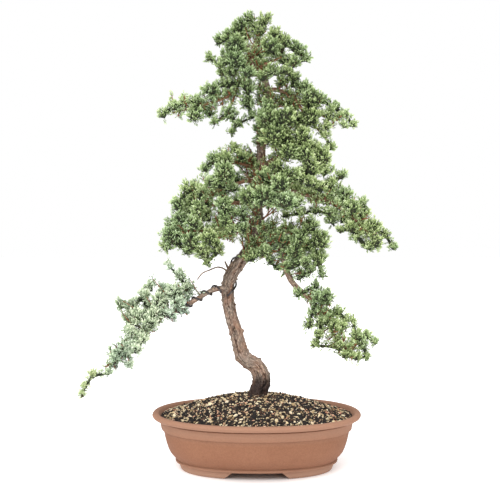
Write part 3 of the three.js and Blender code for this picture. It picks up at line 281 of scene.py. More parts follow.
# Long sprigs that stand up from the lowest left branch.
SPRIG_RADII = [0.9, 0.35]
SPRIGS = [
    [[-80, -19, 251], [-88, -24, 262], [-95, -26, 275]],
    [[-98, -26, 240], [-108, -32, 258], [-112, -36, 268]],
    [[-112, -27, 233], [-128, -30, 252], [-143, -32, 270], [-152, -33, 281]],
    [[-130, -29, 223], [-150, -34, 240], [-160, -38, 256]],
    [[-150, -30, 212], [-172, -32, 232], [-191, -34, 245]],
    [[-160, -31, 203], [-182, -36, 216], [-194, -40, 234]],
]
SPRIG_BARE = [0, 0.02]

# The trunk's route: x, y, z and radius, from the buried stump to the tip.
TRUNK = [
    [0, 0, 62, 11], [-1, 0, 88, 15], [2, 0, 108, 13.4], [7.5, 0, 128, 12.6], [0.5, 0, 146, 11.4],
    [-18.5, 2, 160, 10.6], [-24.5, 3, 175, 10], [-30, 4, 197, 9.6], [-37, 5, 220, 9.4],
    [-41.5, 5, 243, 9], [-42, 4, 265, 9], [-38, 3, 280, 9.6], [-28, 2, 295, 9.2],
    [-18, 0, 309, 8.8], [-7, -2, 324, 8.4], [2, -3, 342, 8.2], [2, -3, 360, 7.8], [1, -2, 384, 7.4],
    [5, 0, 414, 6.9], [7, 2, 443, 6.6], [7, 3, 468, 6.2], [8, 3, 495, 5.6], [12, 2, 522, 5.2],
    [16, 0, 545, 5], [13, -2, 564, 4.6], [2, -2, 579, 4.2], [-8, 0, 593, 4], [-4, 2, 611, 3.4],
    [0, 1, 627, 2.8], [4, 0, 641, 2.2],
]

# Limbs and twigs: thickness at each end, then the route outwards.
LIMBS = {
    "low_left": [4.6, 1.4, [
        [-41, 3, 259], [-51, -8, 262], [-63, -14, 260], [-75, -18, 254], [-93, -23, 243],
        [-118, -27, 229], [-135, -28, 222], [-153, -30, 210], [-167, -32, 196], [-177, -35, 182],
        [-188, -37, 169], [-205, -38, 158], [-216, -39, 151]]],
    "arching_twig": [1.5, 0.8, [
        [-38, 3, 276], [-46, -2, 289], [-56, -9, 293], [-68, -15, 289], [-79, -18, 284],
        [-86, -20, 275]]],
    "dead_stub": [2.8, 1.1, [[-36, 3, 282], [-43, 8, 293], [-47, 12, 301]]],
    "lower_right": [6.6, 1.6, [
        [-4, -2, 336], [8, -10, 347], [27, -18, 340], [35, -22, 325], [40, -25, 301],
        [51, -28, 272], [66, -30, 257], [77, -32, 248], [88, -35, 235], [98, -38, 220],
        [110, -42, 198], [129, -44, 176], [134, -44, 173]]],
    "under_twig": [2.6, 1.4, [[30, -19, 334], [20, -24, 324], [5, -30, 316]]],
    "shoulder_right": [3.4, 1.6, [[24, -18, 342], [48, -30, 344], [64, -34, 342]]],
    "lower_right_back": [3.6, 1.6, [
        [12, -12, 346], [34, 8, 336], [58, 24, 322], [72, 25, 317]]],
    "right_long": [4.6, 1.5, [
        [4, 0, 406], [22, -10, 411], [48, -20, 404], [78, -24, 396], [104, -24, 388],
        [132, -22, 372], [152, -18, 352], [170, -13, 340], [182, -10, 334]]],
    "right_back": [3.2, 1.5, [[40, -18, 407], [76, 10, 402], [100, 22, 396], [116, 28, 390]]],
    "upper_right": [3.8, 1.3, [
        [15, 0, 547], [24, -5, 553], [36, -9, 550], [52, -12, 543], [70, -14, 528],
        [90, -14, 517], [110, -13, 509], [119, -12, 507]]],
    "upper_right_low": [2.6, 1.4, [
        [54, -12, 542], [70, -16, 516], [88, -18, 494], [102, -20, 480]]],
    "upper_left": [3.8, 1.3, [
        [4, -2, 577], [-10, -5, 575], [-24, -9, 562], [-36, -11, 546], [-50, -13, 538],
        [-74, -15, 530], [-98, -17, 523], [-122, -19, 517]]],
    "upper_left_low": [2.2, 1.2, [[-30, -10, 554], [-34, -14, 536], [-40, -17, 522]]],
    "apex_left_twig": [2.8, 1.3, [[-8, 0, 592], [-20, -12, 590], [-36, -22, 588]]],
    "apex_right_twig": [2.8, 1.3, [[-2, -1, 584], [16, -12, 590], [36, -18, 598]]],
    "apex_back_twig": [2.8, 1.3, [[8, -2, 572], [8, 20, 588], [8, 36, 602]]],
    "front_upper_limb": [3.8, 1.6, [[7, 3, 466], [14, -14, 476], [22, -32, 486], [30, -42, 492]]],
    "front_right_limb": [4, 1.6, [[7, 2, 440], [26, -18, 450], [46, -36, 456], [68, -40, 460]]],
    "front_limb": [4.4, 1.6, [[1, -2, 384], [6, -26, 394], [14, -46, 402], [26, -58, 408]]],
    "back_upper_limb": [4, 1.6, [[8, 3, 486], [22, 26, 500], [40, 44, 502], [56, 50, 496]]],
    "back_limb": [4.4, 1.6, [[5, 0, 408], [16, 30, 414], [34, 54, 414], [58, 66, 422]]],
    "back_left_limb": [4.2, 1.6, [
        [1, -2, 378], [-16, 28, 388], [-38, 52, 392], [-56, 62, 376]]],
    "back_left_outer_limb": [3, 1.5, [
        [-18, 30, 389], [-50, 30, 388], [-80, 32, 380], [-104, 36, 362]]],
    "left_upper_twig": [3.2, 1.4, [[6, 1, 432], [-8, -8, 439], [-26, -18, 444], [-46, -24, 444]]],
    "left_outer_twig": [3, 1.4, [
        [3, 0, 420], [-18, -9, 418], [-38, -16, 411], [-64, -24, 402], [-90, -26, 392]]],
    "left_lower_limb": [4.2, 1.6, [
        [2, -3, 362], [-16, -12, 359], [-38, -22, 350], [-66, -30, 346], [-92, -30, 346],
        [-106, -26, 344]]],
}


# Places and colours

def at(place):
    """Millimetres from the middle of the pot's footprint, as metres in the frame."""
    return POT_MIDDLE + np.array(place, float) * MM


def colour(red, green, blue):
    """A colour as a screen shows it, 0 to 255, as the linear values that shaders take."""
    def linear(value):
        share = value / 255
        return share / 12.92 if share <= 0.04045 else ((share + 0.055) / 1.055) ** 2.4
    return (linear(red), linear(green), linear(blue), 1)


# Node trees

def add_node(tree, kind, inputs=None, **settings):
    """Adds a node. An input that is given a socket is linked, and any other is set."""
    made = tree.nodes.new(kind)
    for name, value in settings.items():
        setattr(made, name, value)
    for key, value in (inputs or {}).items():
        if isinstance(value, bpy.types.NodeSocket):
            tree.links.new(value, made.inputs[key])
        else:
            made.inputs[key].default_value = value
    return made


def add_ramp(tree, factor, *stops):
    """Colours along a factor. A stop is a place and the linear colour there."""
    made = add_node(tree, "ShaderNodeValToRGB", {"Fac": factor})
    elements = made.color_ramp.elements
    while len(elements) < len(stops):
        elements.new(0.5)
    for element, (place, value) in zip(elements, stops):
        element.position = place
        element.color = value
    return made.outputs["Color"]


def add_tones(tree, factor, *stops):
    """Screen colours along a factor. A stop is a place, then red, green and blue."""
    return add_ramp(tree, factor, *((place, colour(*tone)) for place, *tone in stops))


def add_mask(tree, factor, *stops):
    """A share along a factor. A stop is a place and the share there."""
    return add_ramp(tree, factor, *((place, (share, share, share, 1)) for place, share in stops))


def add_mix(tree, factor, first, second, blend="MIX"):
    return add_node(tree, "ShaderNodeMix", {0: factor, 6: first, 7: second},
                    data_type="RGBA", blend_type=blend).outputs[2]


def add_math(tree, kind, first, second=0):
    return add_node(tree, "ShaderNodeMath", {0: first, 1: second}, operation=kind).outputs[0]


def add_vector_math(tree, kind, first, second=(0, 0, 0)):
    return add_node(tree, "ShaderNodeVectorMath", {0: first, 1: second}, operation=kind).outputs[0]


def scaled(tree, vector, scale):
    return add_node(tree, "ShaderNodeVectorMath", {0: vector, "Scale": scale}, operation="SCALE").outputs[0]


def part_of(tree, vector, axis):
    return add_node(tree, "ShaderNodeSeparateXYZ", {0: vector}).outputs[axis]


def add_range(tree, value, start, end, most=1):
    """0 up to the start, the most from the end on, and an even slope between them."""
    return add_node(tree, "ShaderNodeMapRange", {
        "Value": value, "From Min": start, "From Max": end, "To Max": most}).outputs[0]


def add_noise(tree, vector, scale, detail=3, roughness=0.55):
    return add_node(tree, "ShaderNodeTexNoise", {
        "Vector": vector, "Scale": scale, "Detail": detail, "Roughness": roughness}).outputs["Fac"]


def chance_between(tree, kind, least, most, seed):
    """A random value for each point, between two values or sockets."""
    first = {"FLOAT_VECTOR": 0, "FLOAT": 2, "INT": 4}[kind]
    made = add_node(tree, "FunctionNodeRandomValue", {first: least, first + 1: most, "Seed": seed},
                    data_type=kind)
    return made.outputs[first // 2]


def is_above(tree, value, least):
    return add_node(tree, "FunctionNodeCompare", {0: value, 1: least},
                    data_type="FLOAT", operation="GREATER_THAN").outputs[0]


def store_value(tree, geometry, name, value, kind, domain):
    return add_node(tree, "GeometryNodeStoreNamedAttribute", {
        "Geometry": geometry, "Name": name, 3: value}, data_type=kind, domain=domain).outputs[0]


def stored_value(tree, name, kind):
    return add_node(tree, "GeometryNodeInputNamedAttribute", {"Name": name}, data_type=kind).outputs[0]


def scatter(tree, mesh, apart, tries, seed, limits=None):
    """Points over a mesh, kept apart, and the surface's normals there."""
    made = add_node(tree, "GeometryNodeDistributePointsOnFaces", {
        "Mesh": mesh, "Distance Min": apart, "Density Max": tries, "Seed": seed, **(limits or {})},
        distribute_method="POISSON")
    return made.outputs["Points"], made.outputs["Normal"]


def set_copies(tree, points, kinds, inputs):
    """On each point a copy of one of the collection's objects."""
    source = add_node(tree, "GeometryNodeCollectionInfo", {
        "Collection": kinds, "Separate Children": True, "Reset Children": True}).outputs[0]
    return add_node(tree, "GeometryNodeInstanceOnPoints", {
        "Points": points, "Instance": source, "Pick Instance": True, **inputs}).outputs[0]


def join(tree, parts):
    joined = add_node(tree, "GeometryNodeJoinGeometry")
    for part in parts:
        tree.links.new(part, joined.inputs[0])
    return joined.outputs[0]


def begin_tree(name, inputs):
    """A Geometry Nodes tree with a geometry socket at each end and named inputs."""
    tree = bpy.data.node_groups.new(name, "GeometryNodeTree")
    face = tree.interface
    face.new_socket("Geometry", in_out="INPUT", socket_type="NodeSocketGeometry")
    for label, kind in inputs.items():
        face.new_socket(label, in_out="INPUT", socket_type=f"NodeSocket{kind}")
    face.new_socket("Geometry", in_out="OUTPUT", socket_type="NodeSocketGeometry")
    return tree, tree.nodes.new("NodeGroupInput").outputs


def end_tree(tree, *parts):
    """Joins the parts, each with its finish, as the tree's result."""
    finished = []
    for geometry, finish in parts:
        real = add_node(tree, "GeometryNodeRealizeInstances", {"Geometry": geometry}).outputs[0]
        finished.append(add_node(
            tree, "GeometryNodeSetMaterial", {"Geometry": real, "Material": finish}).outputs[0])
    tree.links.new(join(tree, finished), tree.nodes.new("NodeGroupOutput").inputs[0])
    return tree


def grow_modifier(piece, tree, values):
    """Puts a tree on a piece, with its inputs set by their identifiers."""
    grown = piece.modifiers.new(tree.name, "NODES")
    grown.node_group = tree
    for socket in tree.interface.items_tree:
        if socket.in_out == "INPUT" and socket.name in values:
            grown[socket.identifier] = values[socket.name]


# Finishes

def new_finish(name, roughness, specular=0.5, metallic=0):
    """A material with its tree, its shader and the object's own coordinates."""
    finish = bpy.data.materials.new(name)
    finish.use_nodes = True
    tree = finish.node_tree
    shader = tree.nodes["Principled BSDF"]
    shader.inputs["Roughness"].default_value = roughness
    shader.inputs["Specular IOR Level"].default_value = specular
    shader.inputs["Metallic"].default_value = metallic
    return finish, tree, shader, add_node(tree, "ShaderNodeTexCoord").outputs["Object"]


def dress(tree, shader, base, height, depth, strength=1):
    """Gives the shader its colour, and relief of a depth in metres."""
    bump = add_node(tree, "ShaderNodeBump", {"Height": height, "Distance": depth, "Strength": strength})
    tree.links.new(base, shader.inputs["Base Color"])
    tree.links.new(bump.outputs["Normal"], shader.inputs["Normal"])


def own(tree, name, output="Fac"):
    """One of the mesh's own attributes."""
    return add_node(tree, "ShaderNodeAttribute", attribute_name=name).outputs[output]


def clay_finish():
    """Unglazed clay: mottled, fine-grained and specked, with painted light: paler and greyer at the foot
    and the lip.
    """
    finish, tree, shader, place = new_finish("unglazed_clay", 0.82, specular=0.3)
    broad = add_noise(tree, place, 26, 4)
    fine = add_noise(tree, place, 420)
    mottled = add_tones(tree, broad, (0.3, 133, 90, 67), (0.7, 143, 99, 75))
    grain = add_tones(tree, fine, (0.35, 125, 83, 61), (0.65, 151, 107, 82))
    is_speck = add_mask(tree, add_noise(tree, place, 950, 1), (0.68, 0), (0.74, 1))
    specked = add_mix(tree, is_speck, add_mix(tree, 0.3, mottled, grain), colour(116, 77, 58))
    # Painted light by height: paler and greyer at the foot, as if lit from the floor, and at the lip, lit
    # from above.
    up = add_math(tree, "MULTIPLY", part_of(tree, place, "Z"), 1 / (POT_HEIGHT * MM))
    painted_light_by_height = add_mask(tree, up, (0.06, 0.85), (0.22, 0), (0.62, 0), (0.8, 0.4))
    height = add_math(tree, "ADD", fine, add_math(tree, "MULTIPLY", broad, 1.5))
    dress(tree, shader, add_mix(tree, painted_light_by_height, specked, colour(172, 136, 115)), height, 0.0006, 0.55)
    return finish


def bark_finish():
    """Old juniper bark: long fissures along the wood, grey-brown on thick wood, orange on thin."""
    finish, tree, shader, place = new_finish("juniper_bark", 0.92, specular=0.2)
    grain = own(tree, "grain_place", "Vector")

    def streaks(shortening, scale, detail, roughness):
        """Noise that is drawn out along the wood."""
        drawn_out = add_vector_math(tree, "MULTIPLY", grain, (1, 1, shortening))
        return add_noise(tree, drawn_out, scale, detail, roughness)

    fibres = streaks(0.3, 520, 5, 0.7)
    scales = streaks(0.7, 460, 3, 0.7)
    patches = streaks(0.5, 75, 3, 0.55)
    old = add_tones(tree, fibres, (0.3, 60, 48, 42), (0.43, 108, 94, 84), (0.58, 154, 137, 124),
                    (0.74, 208, 192, 178))
    young = add_tones(tree, fibres, (0.3, 88, 54, 36), (0.5, 154, 102, 70), (0.7, 198, 148, 112))
    bark = add_mix(tree, add_mask(tree, own(tree, "thickness"), (0.12, 0), (0.46, 1)), young, old)
    # Warm patches, pale flecks, dark pits, and painted shade deep in the fissures, where the relief is low.
    for marks, first, last, tone in (
        (patches, (0.45, 0), (0.68, 0.5), (156, 108, 82)),
        (scales, (0.58, 0), (0.7, 0.8), (212, 184, 150)),
        (scales, (0.3, 0.85), (0.42, 0), (72, 52, 42)),
        (own(tree, "relief"), (0.08, 0.85), (0.36, 0), (46, 32, 26)),
    ):
        bark = add_mix(tree, add_mask(tree, marks, first, last), bark, colour(*tone))
    uneven = add_math(tree, "ADD", part_of(tree, place, "Z"), add_math(tree, "MULTIPLY", patches, 0.03))
    damp = add_mask(tree, uneven, (DAMP_BARK[0], 1), (DAMP_BARK[1], 0))
    wet = add_mix(tree, 1, bark, colour(116, 112, 118), "MULTIPLY")
    dress(tree, shader, add_mix(tree, damp, bark, wet), fibres, 0.0012, 0.9)
    return finish


def grained_finish(name, roughness, grain, depth, strength, *stops):
    """One noise gives both the tones and the relief."""
    finish, tree, shader, place = new_finish(name, roughness)
    marks = add_noise(tree, place, *grain)
    dress(tree, shader, add_tones(tree, marks, *stops), marks, depth, strength)
    return finish


def grit_finish():
    """Crushed grit of several stones: each grain has its own tone."""
    finish, tree, shader, place = new_finish("mixed_grit", 0.85)
    body = add_tones(
        tree, own(tree, "tone"), (0, 12, 9, 8), (0.48, 34, 24, 20), (0.58, 96, 70, 54),
        (0.65, 172, 150, 114), (0.76, 222, 208, 176), (0.81, 192, 136, 110), (0.88, 240, 230, 206),
        (0.95, 176, 162, 130), (1, 232, 220, 202))
    veins = add_noise(tree, place, 700)
    veined = add_tones(tree, veins, (0.35, 70, 56, 46), (0.6, 226, 206, 178))
    dress(tree, shader, add_mix(tree, 0.35, body, veined, "OVERLAY"), veins, 0.0006, 0.7)
    return finish


def wire_finish():
    """Anodised aluminium wire, dark and dull, lighter where it was bent."""
    finish, tree, shader, place = new_finish("dark_anodised_wire", 0.42, metallic=0.85)
    wear = add_tones(tree, add_noise(tree, place, 160), (0.4, 62, 58, 58), (0.62, 92, 86, 84),
                     (0.72, 128, 118, 112))
    dress(tree, shader, wear, add_noise(tree, place, 900, 2), 0.0002, 0.4)
    return finish


def leaf_finish(name, tones, yellowed):
    """Scale leaves: pale at the growing tips, where they are young, and dark inside the spray, partly for
    their age and partly as painted shade.
    """
    finish, tree, shader, place = new_finish(name, 0.62, specular=0.35)
    across = part_of(tree, place, "X")
    away = add_math(tree, "ABSOLUTE", add_math(tree, "SUBTRACT", across, POT_MIDDLE[0]))
    younger = add_range(tree, away, *YOUNGER_STRETCH, YOUNGER_BY)
    youth = add_math(tree, "ADD", own(tree, "leaf_youth"), younger)
    # Each shoot's tone, darker for shoots on a spray's heart as painted shade, and broad noise.
    for varied in (own(tree, "shoot_tone"), add_noise(tree, place, 14, 2)):
        change = add_math(tree, "MULTIPLY", add_math(tree, "SUBTRACT", varied, 0.5), 0.5)
        youth = add_math(tree, "ADD", youth, change)
    toned = add_tones(tree, youth, *((mark, *tone) for mark, tone in zip(LEAF_YOUTHS, tones)))
    cool = add_ramp(tree, add_noise(tree, place, 9, 2), (0.44, WARM_LEAVES), (0.62, COOL_LEAVES))
    faded = add_mix(tree, add_range(tree, across, *YELLOWED_END), WHITE, yellowed)
    cooled = add_mix(tree, 1, toned, cool, "MULTIPLY")
    tree.links.new(add_mix(tree, 1, cooled, faded, "MULTIPLY"), shader.inputs["Base Color"])
    return finish


CLAY = clay_finish()
BARK = bark_finish()
GRIT = grit_finish()
WIRE = wire_finish()
LOAM = grained_finish(
    "dark_loam", 0.97, (300, 5, 0.7), 0.0025, 1,
    (0.35, 20, 15, 13), (0.55, 42, 32, 27), (0.72, 74, 58, 46))
PLASTIC = grained_finish(
    "black_mesh_plastic", 0.55, (300, 2), 0.0003, 0.5, (0.4, 24, 24, 26), (0.7, 40, 40, 42))
# Twigs of the sprays' hearts: their own dark bark, kept darker still as painted shade deep inside the
# sprays.
SHADED_TWIG = grained_finish(
    "spray_twigs", 0.9, (240, 4), 0.002, 1,
    (0.35, 24, 30, 17), (0.55, 44, 52, 28), (0.72, 84, 70, 44))
GREEN_LEAF = leaf_finish("green_scale_leaves", GREEN_TONES, WHITE)
BLUE_LEAF = leaf_finish("blue_green_scale_leaves", BLUE_GREEN_TONES, YELLOWED)


# Meshes

def place_object(name, data):
    """An object in the scene, at the origin."""
    made = bpy.data.objects.new(name, data)
    bpy.context.scene.collection.objects.link(made)
    return made


def new_piece(name, points, faces, finish):
    """A smooth piece at the origin from points in the frame's metres."""
    mesh = bpy.data.meshes.new(name)
    mesh.from_pydata([tuple(p) for p in points], [], faces)
    mesh.polygons.foreach_set("use_smooth", [True] * len(mesh.polygons))
    mesh.materials.append(finish)
    mesh.update()
    return place_object(name, mesh)


def settle(piece):
    """Applies the piece's live modifiers, so that a plain mesh is left."""
    graph = bpy.context.evaluated_depsgraph_get()
    graph.update()
    finished = bpy.data.meshes.new_from_object(piece.evaluated_get(graph), depsgraph=graph)
    finished.name = piece.name
    piece.modifiers.clear()
    piece.data = finished
    return piece


def hand_over(piece, slot, *nodes):
    """Puts a finished piece on the part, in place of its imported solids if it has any."""
    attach(piece, "root")
    if nodes:
        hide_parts(*nodes)


def closed_loft(rings):
    """Faces through rings of equal counts, with a fan at each end. Returns points and faces."""
    sides = len(rings[0])
    points = [p for ring in rings for p in ring]
    points += [np.mean(rings[0], axis=0), np.mean(rings[-1], axis=0)]
    start, end = len(points) - 2, len(points) - 1
    last = (len(rings) - 1) * sides
    faces = []
    for k in range(sides):
        after = (k + 1) % sides
        faces.append((start, after, k))
        faces.append((end, last + k, last + after))
        for level in range(len(rings) - 1):
            low, high = level * sides, (level + 1) * sides
            faces.append((low + k, low + after, high + after, high + k))
    return points, faces


# Pot

def oval_ring(inset, height, sides):
    """The pot's plan at a height, in from the rim's outer edge."""
    share = height / POT_HEIGHT
    power = OVAL_POWER_FOOT + (OVAL_POWER_RIM - OVAL_POWER_FOOT) * share
    band = min(inset, RIM_BAND)
    length = POT_HALF_LENGTH - inset
    depth = POT_HALF_DEPTH - band - (inset - band) * LONG_WALL_LEAN
    ring = []
    for k in range(sides):
        angle = (k + 0.5) / sides * 2 * math.pi
        c, s = math.cos(angle), math.sin(angle)
        x = math.copysign(length * abs(c) ** (2 / power), c)
        y = math.copysign(depth * abs(s) ** (2 / power), s)
        ring.append(at([x, y, height]))
    return ring


def notch_cutter():
    """A wedge through the foot, front to back."""
    slope = (NOTCH_WIDTH_GROUND - NOTCH_WIDTH_TOP) / 2 / NOTCH_HEIGHT
    low = NOTCH_WIDTH_GROUND / 2 + slope * CUT_PAST
    top = NOTCH_WIDTH_TOP / 2
    outline = [[-low, -CUT_PAST], [low, -CUT_PAST], [top, NOTCH_HEIGHT], [-top, NOTCH_HEIGHT]]
    points = [at([x, y, z]) for y in (-POT_HALF_DEPTH, POT_HALF_DEPTH) for x, z in outline]
    faces = [(0, 1, 2, 3), (7, 6, 5, 4)]
    faces += [((k + 1) % 4, k, k + 4, (k + 1) % 4 + 4) for k in range(4)]
    return new_piece("notch_cutter", points, faces, CLAY)


def drain_cutter(offset):
    """A round bar through the pot's floor."""
    turns = [k / DRAIN_SIDES * 2 * math.pi for k in range(DRAIN_SIDES)]
    circle = [[offset + DRAIN_RADIUS * math.cos(turn), DRAIN_RADIUS * math.sin(turn)] for turn in turns]
    rings = [[at([x, y, height]) for x, y in circle] for height in (0, FLOOR_TOP + CUT_PAST)]
    return new_piece("drain_cutter", *closed_loft(rings), CLAY)


def make_pot():
    """The pot's walls and floor, with the notch and the drain holes cut out."""
    foot = POT_OUTSIDE[0][0] + FOOT_RING_WIDTH
    inner = foot + RECESS_LEAN
    recess = [[inner + RECESS_EDGE, FOOT_HEIGHT], [inner, FOOT_HEIGHT], [foot, 0]]
    profile = [*recess, *POT_OUTSIDE, *POT_INSIDE, [POT_INSIDE[-1][0] + FLOOR_EDGE, FLOOR_TOP]]
    rings = [oval_ring(inset, height, POT_SIDES) for inset, height in profile]
    pot = new_piece("clay_pot", *closed_loft(rings), CLAY)
    cutters = [notch_cutter(), drain_cutter(-DRAIN_OFFSET), drain_cutter(DRAIN_OFFSET)]
    for each in cutters:
        cut = pot.modifiers.new("cut", "BOOLEAN")
        cut.operation = "DIFFERENCE"
        cut.solver = "EXACT"
        cut.object = each
    settle(pot)
    pot.data.set_sharp_from_angle(angle=SHARPEST_ROUNDED)
    for each in cutters:
        bpy.data.objects.remove(each)
    hand_over(pot, "clay", "pot")


# Wood

def spline(rows, step):
    """Fine points along the smooth curve through the rows, each with its share of the rows."""
    rows = np.array(rows, float)
    padded = np.vstack([2 * rows[0] - rows[1], rows, 2 * rows[-1] - rows[-2]])
    places, shares = [], []
    for k in range(len(rows) - 1):
        p0, p1, p2, p3 = padded[k:k + 4]
        d0, d1, d2 = (
            math.sqrt(max(np.linalg.norm(b - a), 1e-6)) for a, b in ((p0, p1), (p1, p2), (p2, p3)))
        t1 = ((p1 - p0) / d0 - (p2 - p0) / (d0 + d1) + (p2 - p1) / d1) * d1
        t2 = ((p2 - p1) / d1 - (p3 - p1) / (d1 + d2) + (p3 - p2) / d2) * d1
        count = max(2, round(np.linalg.norm(p2 - p1) / step))
        for i in range(count + (k == len(rows) - 2)):
            t = i / count
            places.append(p1 + t1 * t + (-3 * p1 + 3 * p2 - 2 * t1 - t2) * t ** 2
                          + (2 * p1 - 2 * p2 + t1 + t2) * t ** 3)
            shares.append(k + t)
    return np.array(places), np.array(shares)


def carried_frames(places):
    """A side and an up direction at each point, carried along without twist."""
    steps = np.gradient(places, axis=0)
    alongs = steps / np.linalg.norm(steps, axis=1)[:, None]
    side = np.array([0.0, 1.0, 0.0])
    frames = []
    for along in alongs:
        side = side - along * side.dot(along)
        side /= np.linalg.norm(side)
        frames.append((side, np.cross(along, side)))
    return frames


def run_lengths(places):
    """How far along the line each place is."""
    return np.concatenate([[0], np.cumsum(np.linalg.norm(np.diff(places, axis=0), axis=1))])


def limb_line(name):
    """Centres, radii and places in the route's rows along one limb, or the trunk."""
    if name == "trunk":
        places, shares = spline([row[:3] for row in TRUNK], TRUNK_STEP)
        radii = np.interp(shares, range(len(TRUNK)), [row[3] for row in TRUNK])
        return places, radii, shares
    thick, thin, route = LIMBS[name]
    places, shares = spline(route, LIMB_STEP)
    last = len(route) - 1
    marks = [thick + (thin - thick) * (k / last) ** LIMB_TAPER for k in range(last + 1)]
    return places, np.interp(shares, range(last + 1), marks), shares


def trunk_relief(angle, run, radius):
    """Ridges and fissures that wander up the trunk, in shares of its radius."""
    c, s = math.cos(angle), math.sin(angle)
    twist = run / 190
    ridge = 0.55 * math.sin(3 * angle + twist * 3.6) + 0.45 * math.sin(5 * angle - twist * 5.5 + 1)
    folds = noise.noise(Vector((c * 1.6, s * 1.6, run / 42)))
    seed = Vector((c * radius * 0.34, s * radius * 0.34, run * 0.045))
    fibre = 1 - 2 * abs(noise.noise(seed * 1.5))
    fine = 1 - 2 * abs(noise.noise(seed * 3.4 + Vector((7, 3, 1))))
    place = Vector((c * radius, s * radius, run))
    knot = max(0, noise.noise(place / 5.5) - KNOT_RARITY)
    crust = noise.noise(place / 2.6)
    raised = 0.6 * (fibre - 0.55) + 0.35 * (fine - 0.5) + CRUST_HEIGHT * crust + KNOT_HEIGHT * knot
    return 0.06 * ridge + 0.07 * folds + raised / radius


def limb_relief(angle, run, radius):
    """Low knots and fine fissures, in shares of the limb's radius."""
    c, s = math.cos(angle), math.sin(angle)
    seed = Vector((c * radius * 0.4, s * radius * 0.4, run * 0.07))
    knots = noise.noise(Vector((c * 0.7, s * 0.7, run / 11)))
    return 0.1 * knots + 0.3 * (0.5 - abs(noise.noise(seed * 2.2))) / radius


def leafy_share(share, bare):
    """How thickly small shoots stand: none on the bare stretch, and 1 well away from it."""
    return min(1, max(0, bare[0] - share, share - bare[1]) / LEAFY_SLOPE)


def sweep(store, places, radii, sides, relief, collar=0.0, age=1.0, bare=(0, 1)):
    """Adds one tapering limb with its bark relief to the wood's points, faces and attributes."""
    frames, runs = carried_frames(places), run_lengths(places)
    rings = []
    for place, radius, (side, up), run in zip(places, radii, frames, runs):
        swell = 1 + collar * max(0, 1 - run / (COLLAR_LENGTH * radii[0])) ** 2
        ring = []
        for k in range(sides):
            angle = k / sides * 2 * math.pi
            height = relief(angle, run, radius)
            reach = radius * swell * (1 + height)
            ring.append(at(place + reach * (math.cos(angle) * side + math.sin(angle) * up)))
            store["grain_place"].append([
                radius * math.cos(angle) * MM, radius * math.sin(angle) * MM, run * MM])
            # The relief is kept so that the finish can paint shade into the fissures.
            store["relief"].append(min(1, max(0, 0.5 + height * radius * RELIEF_SHADE)))
            store["thickness"].append(radius / THICK_WOOD * age)
            store["leafy"].append(leafy_share(run / runs[-1], bare))
        rings.append(ring)
    for run, radius in ((runs[0], radii[0]), (runs[-1], radii[-1])):
        store["grain_place"].append([0, 0, run * MM])
        store["relief"].append(0.5)
        store["thickness"].append(radius / THICK_WOOD * age)
        store["leafy"].append(0)
    points, faces = closed_loft(rings)
    first = len(store["points"])
    store["points"] += points
    store["faces"] += [tuple(first + k for k in face) for face in faces]


def sweep_twig(store, places, radii, bare):
    sweep(store, places, radii, FINE_TWIG_SIDES, limb_relief, 0, FINE_TWIG_AGE, bare)


def twig_line(start, heading, length, draw):
    """A short curved twig that bends upwards, with its radii."""
    heading = heading / np.linalg.norm(heading)
    stray = np.array([draw.uniform(-0.25, 0.25) for _ in range(3)])
    bend = heading * 0.5 + stray
    end = heading + np.array([0, 0, draw.uniform(0.1, 0.45)])
    ts = np.linspace(0, 1, FINE_TWIG_RINGS)
    places = np.array([start + length * (2 * t * (1 - t) * bend + t * t * end) for t in ts])
    return places, np.linspace(*FINE_TWIG_RADII, FINE_TWIG_RINGS)


def add_fine_twigs(store, rows, seed):
    """Small side twigs from stretches of the trunk and limbs, each with a fork."""
    draw = random.Random(seed)
    for name, first, last, count, shortest, longest, lean, bare in rows:
        places, _, shares = limb_line(name)
        frames = carried_frames(places)
        for k in range(count):
            row = first + (last - first) * (k + draw.uniform(0.1, 0.9)) / count
            here = min(int(np.searchsorted(shares, row)), len(places) - 2)
            side, up = frames[here]
            along = places[here + 1] - places[here]
            along = along / np.linalg.norm(along)
            angle = k * GOLDEN_ANGLE + draw.uniform(-0.5, 0.5)
            out = math.cos(angle) * side + math.sin(angle) * up
            heading = out + 0.35 * along + np.array(lean)
            line, radii = twig_line(places[here], heading, draw.uniform(shortest, longest), draw)
            sweep_twig(store, line, radii, [0, bare])
            fork = heading / np.linalg.norm(heading) + np.array([draw.uniform(-0.8, 0.8) for _ in range(3)])
            length = FORK_LENGTH * draw.uniform(shortest, longest)
            line, radii = twig_line(line[FINE_TWIG_RINGS // 2], fork, length, draw)
            sweep_twig(store, line, FORK_THICKNESS * radii, [0, FORK_BARE * bare])


def add_attribute(mesh, name, values, kind="FLOAT"):
    attribute = mesh.attributes.new(name, kind, "POINT")
    field = "vector" if kind == "FLOAT_VECTOR" else "value"
    attribute.data.foreach_set(field, np.array(values, np.float32).ravel())


def empty_store():
    return {"points": [], "faces": [], "grain_place": [], "relief": [], "thickness": [], "leafy": []}


def wood_piece_from(name, store):
    wood = new_piece(name, store["points"], store["faces"], BARK)
    add_attribute(wood.data, "grain_place", store["grain_place"], "FLOAT_VECTOR")
    for each in ("relief", "thickness", "leafy"):
        add_attribute(wood.data, each, store[each])
    return wood


def make_wood():
    """The trunk with its limbs."""
    store = empty_store()
    places, radii, _ = limb_line("trunk")
    sweep(store, places, radii, TRUNK_SIDES, trunk_relief)
    for name in LIMBS:
        places, radii, _ = limb_line(name)
        sweep(store, places, radii, LIMB_SIDES, limb_relief, COLLAR_SWELL,
              AGED_LIMBS.get(name, 1), BARE_STRETCHES.get(name, BARE_STRETCH))
    wood = wood_piece_from("juniper_wood", store)
    hand_over(wood, "bark", "trunk_and_branches")
    return wood


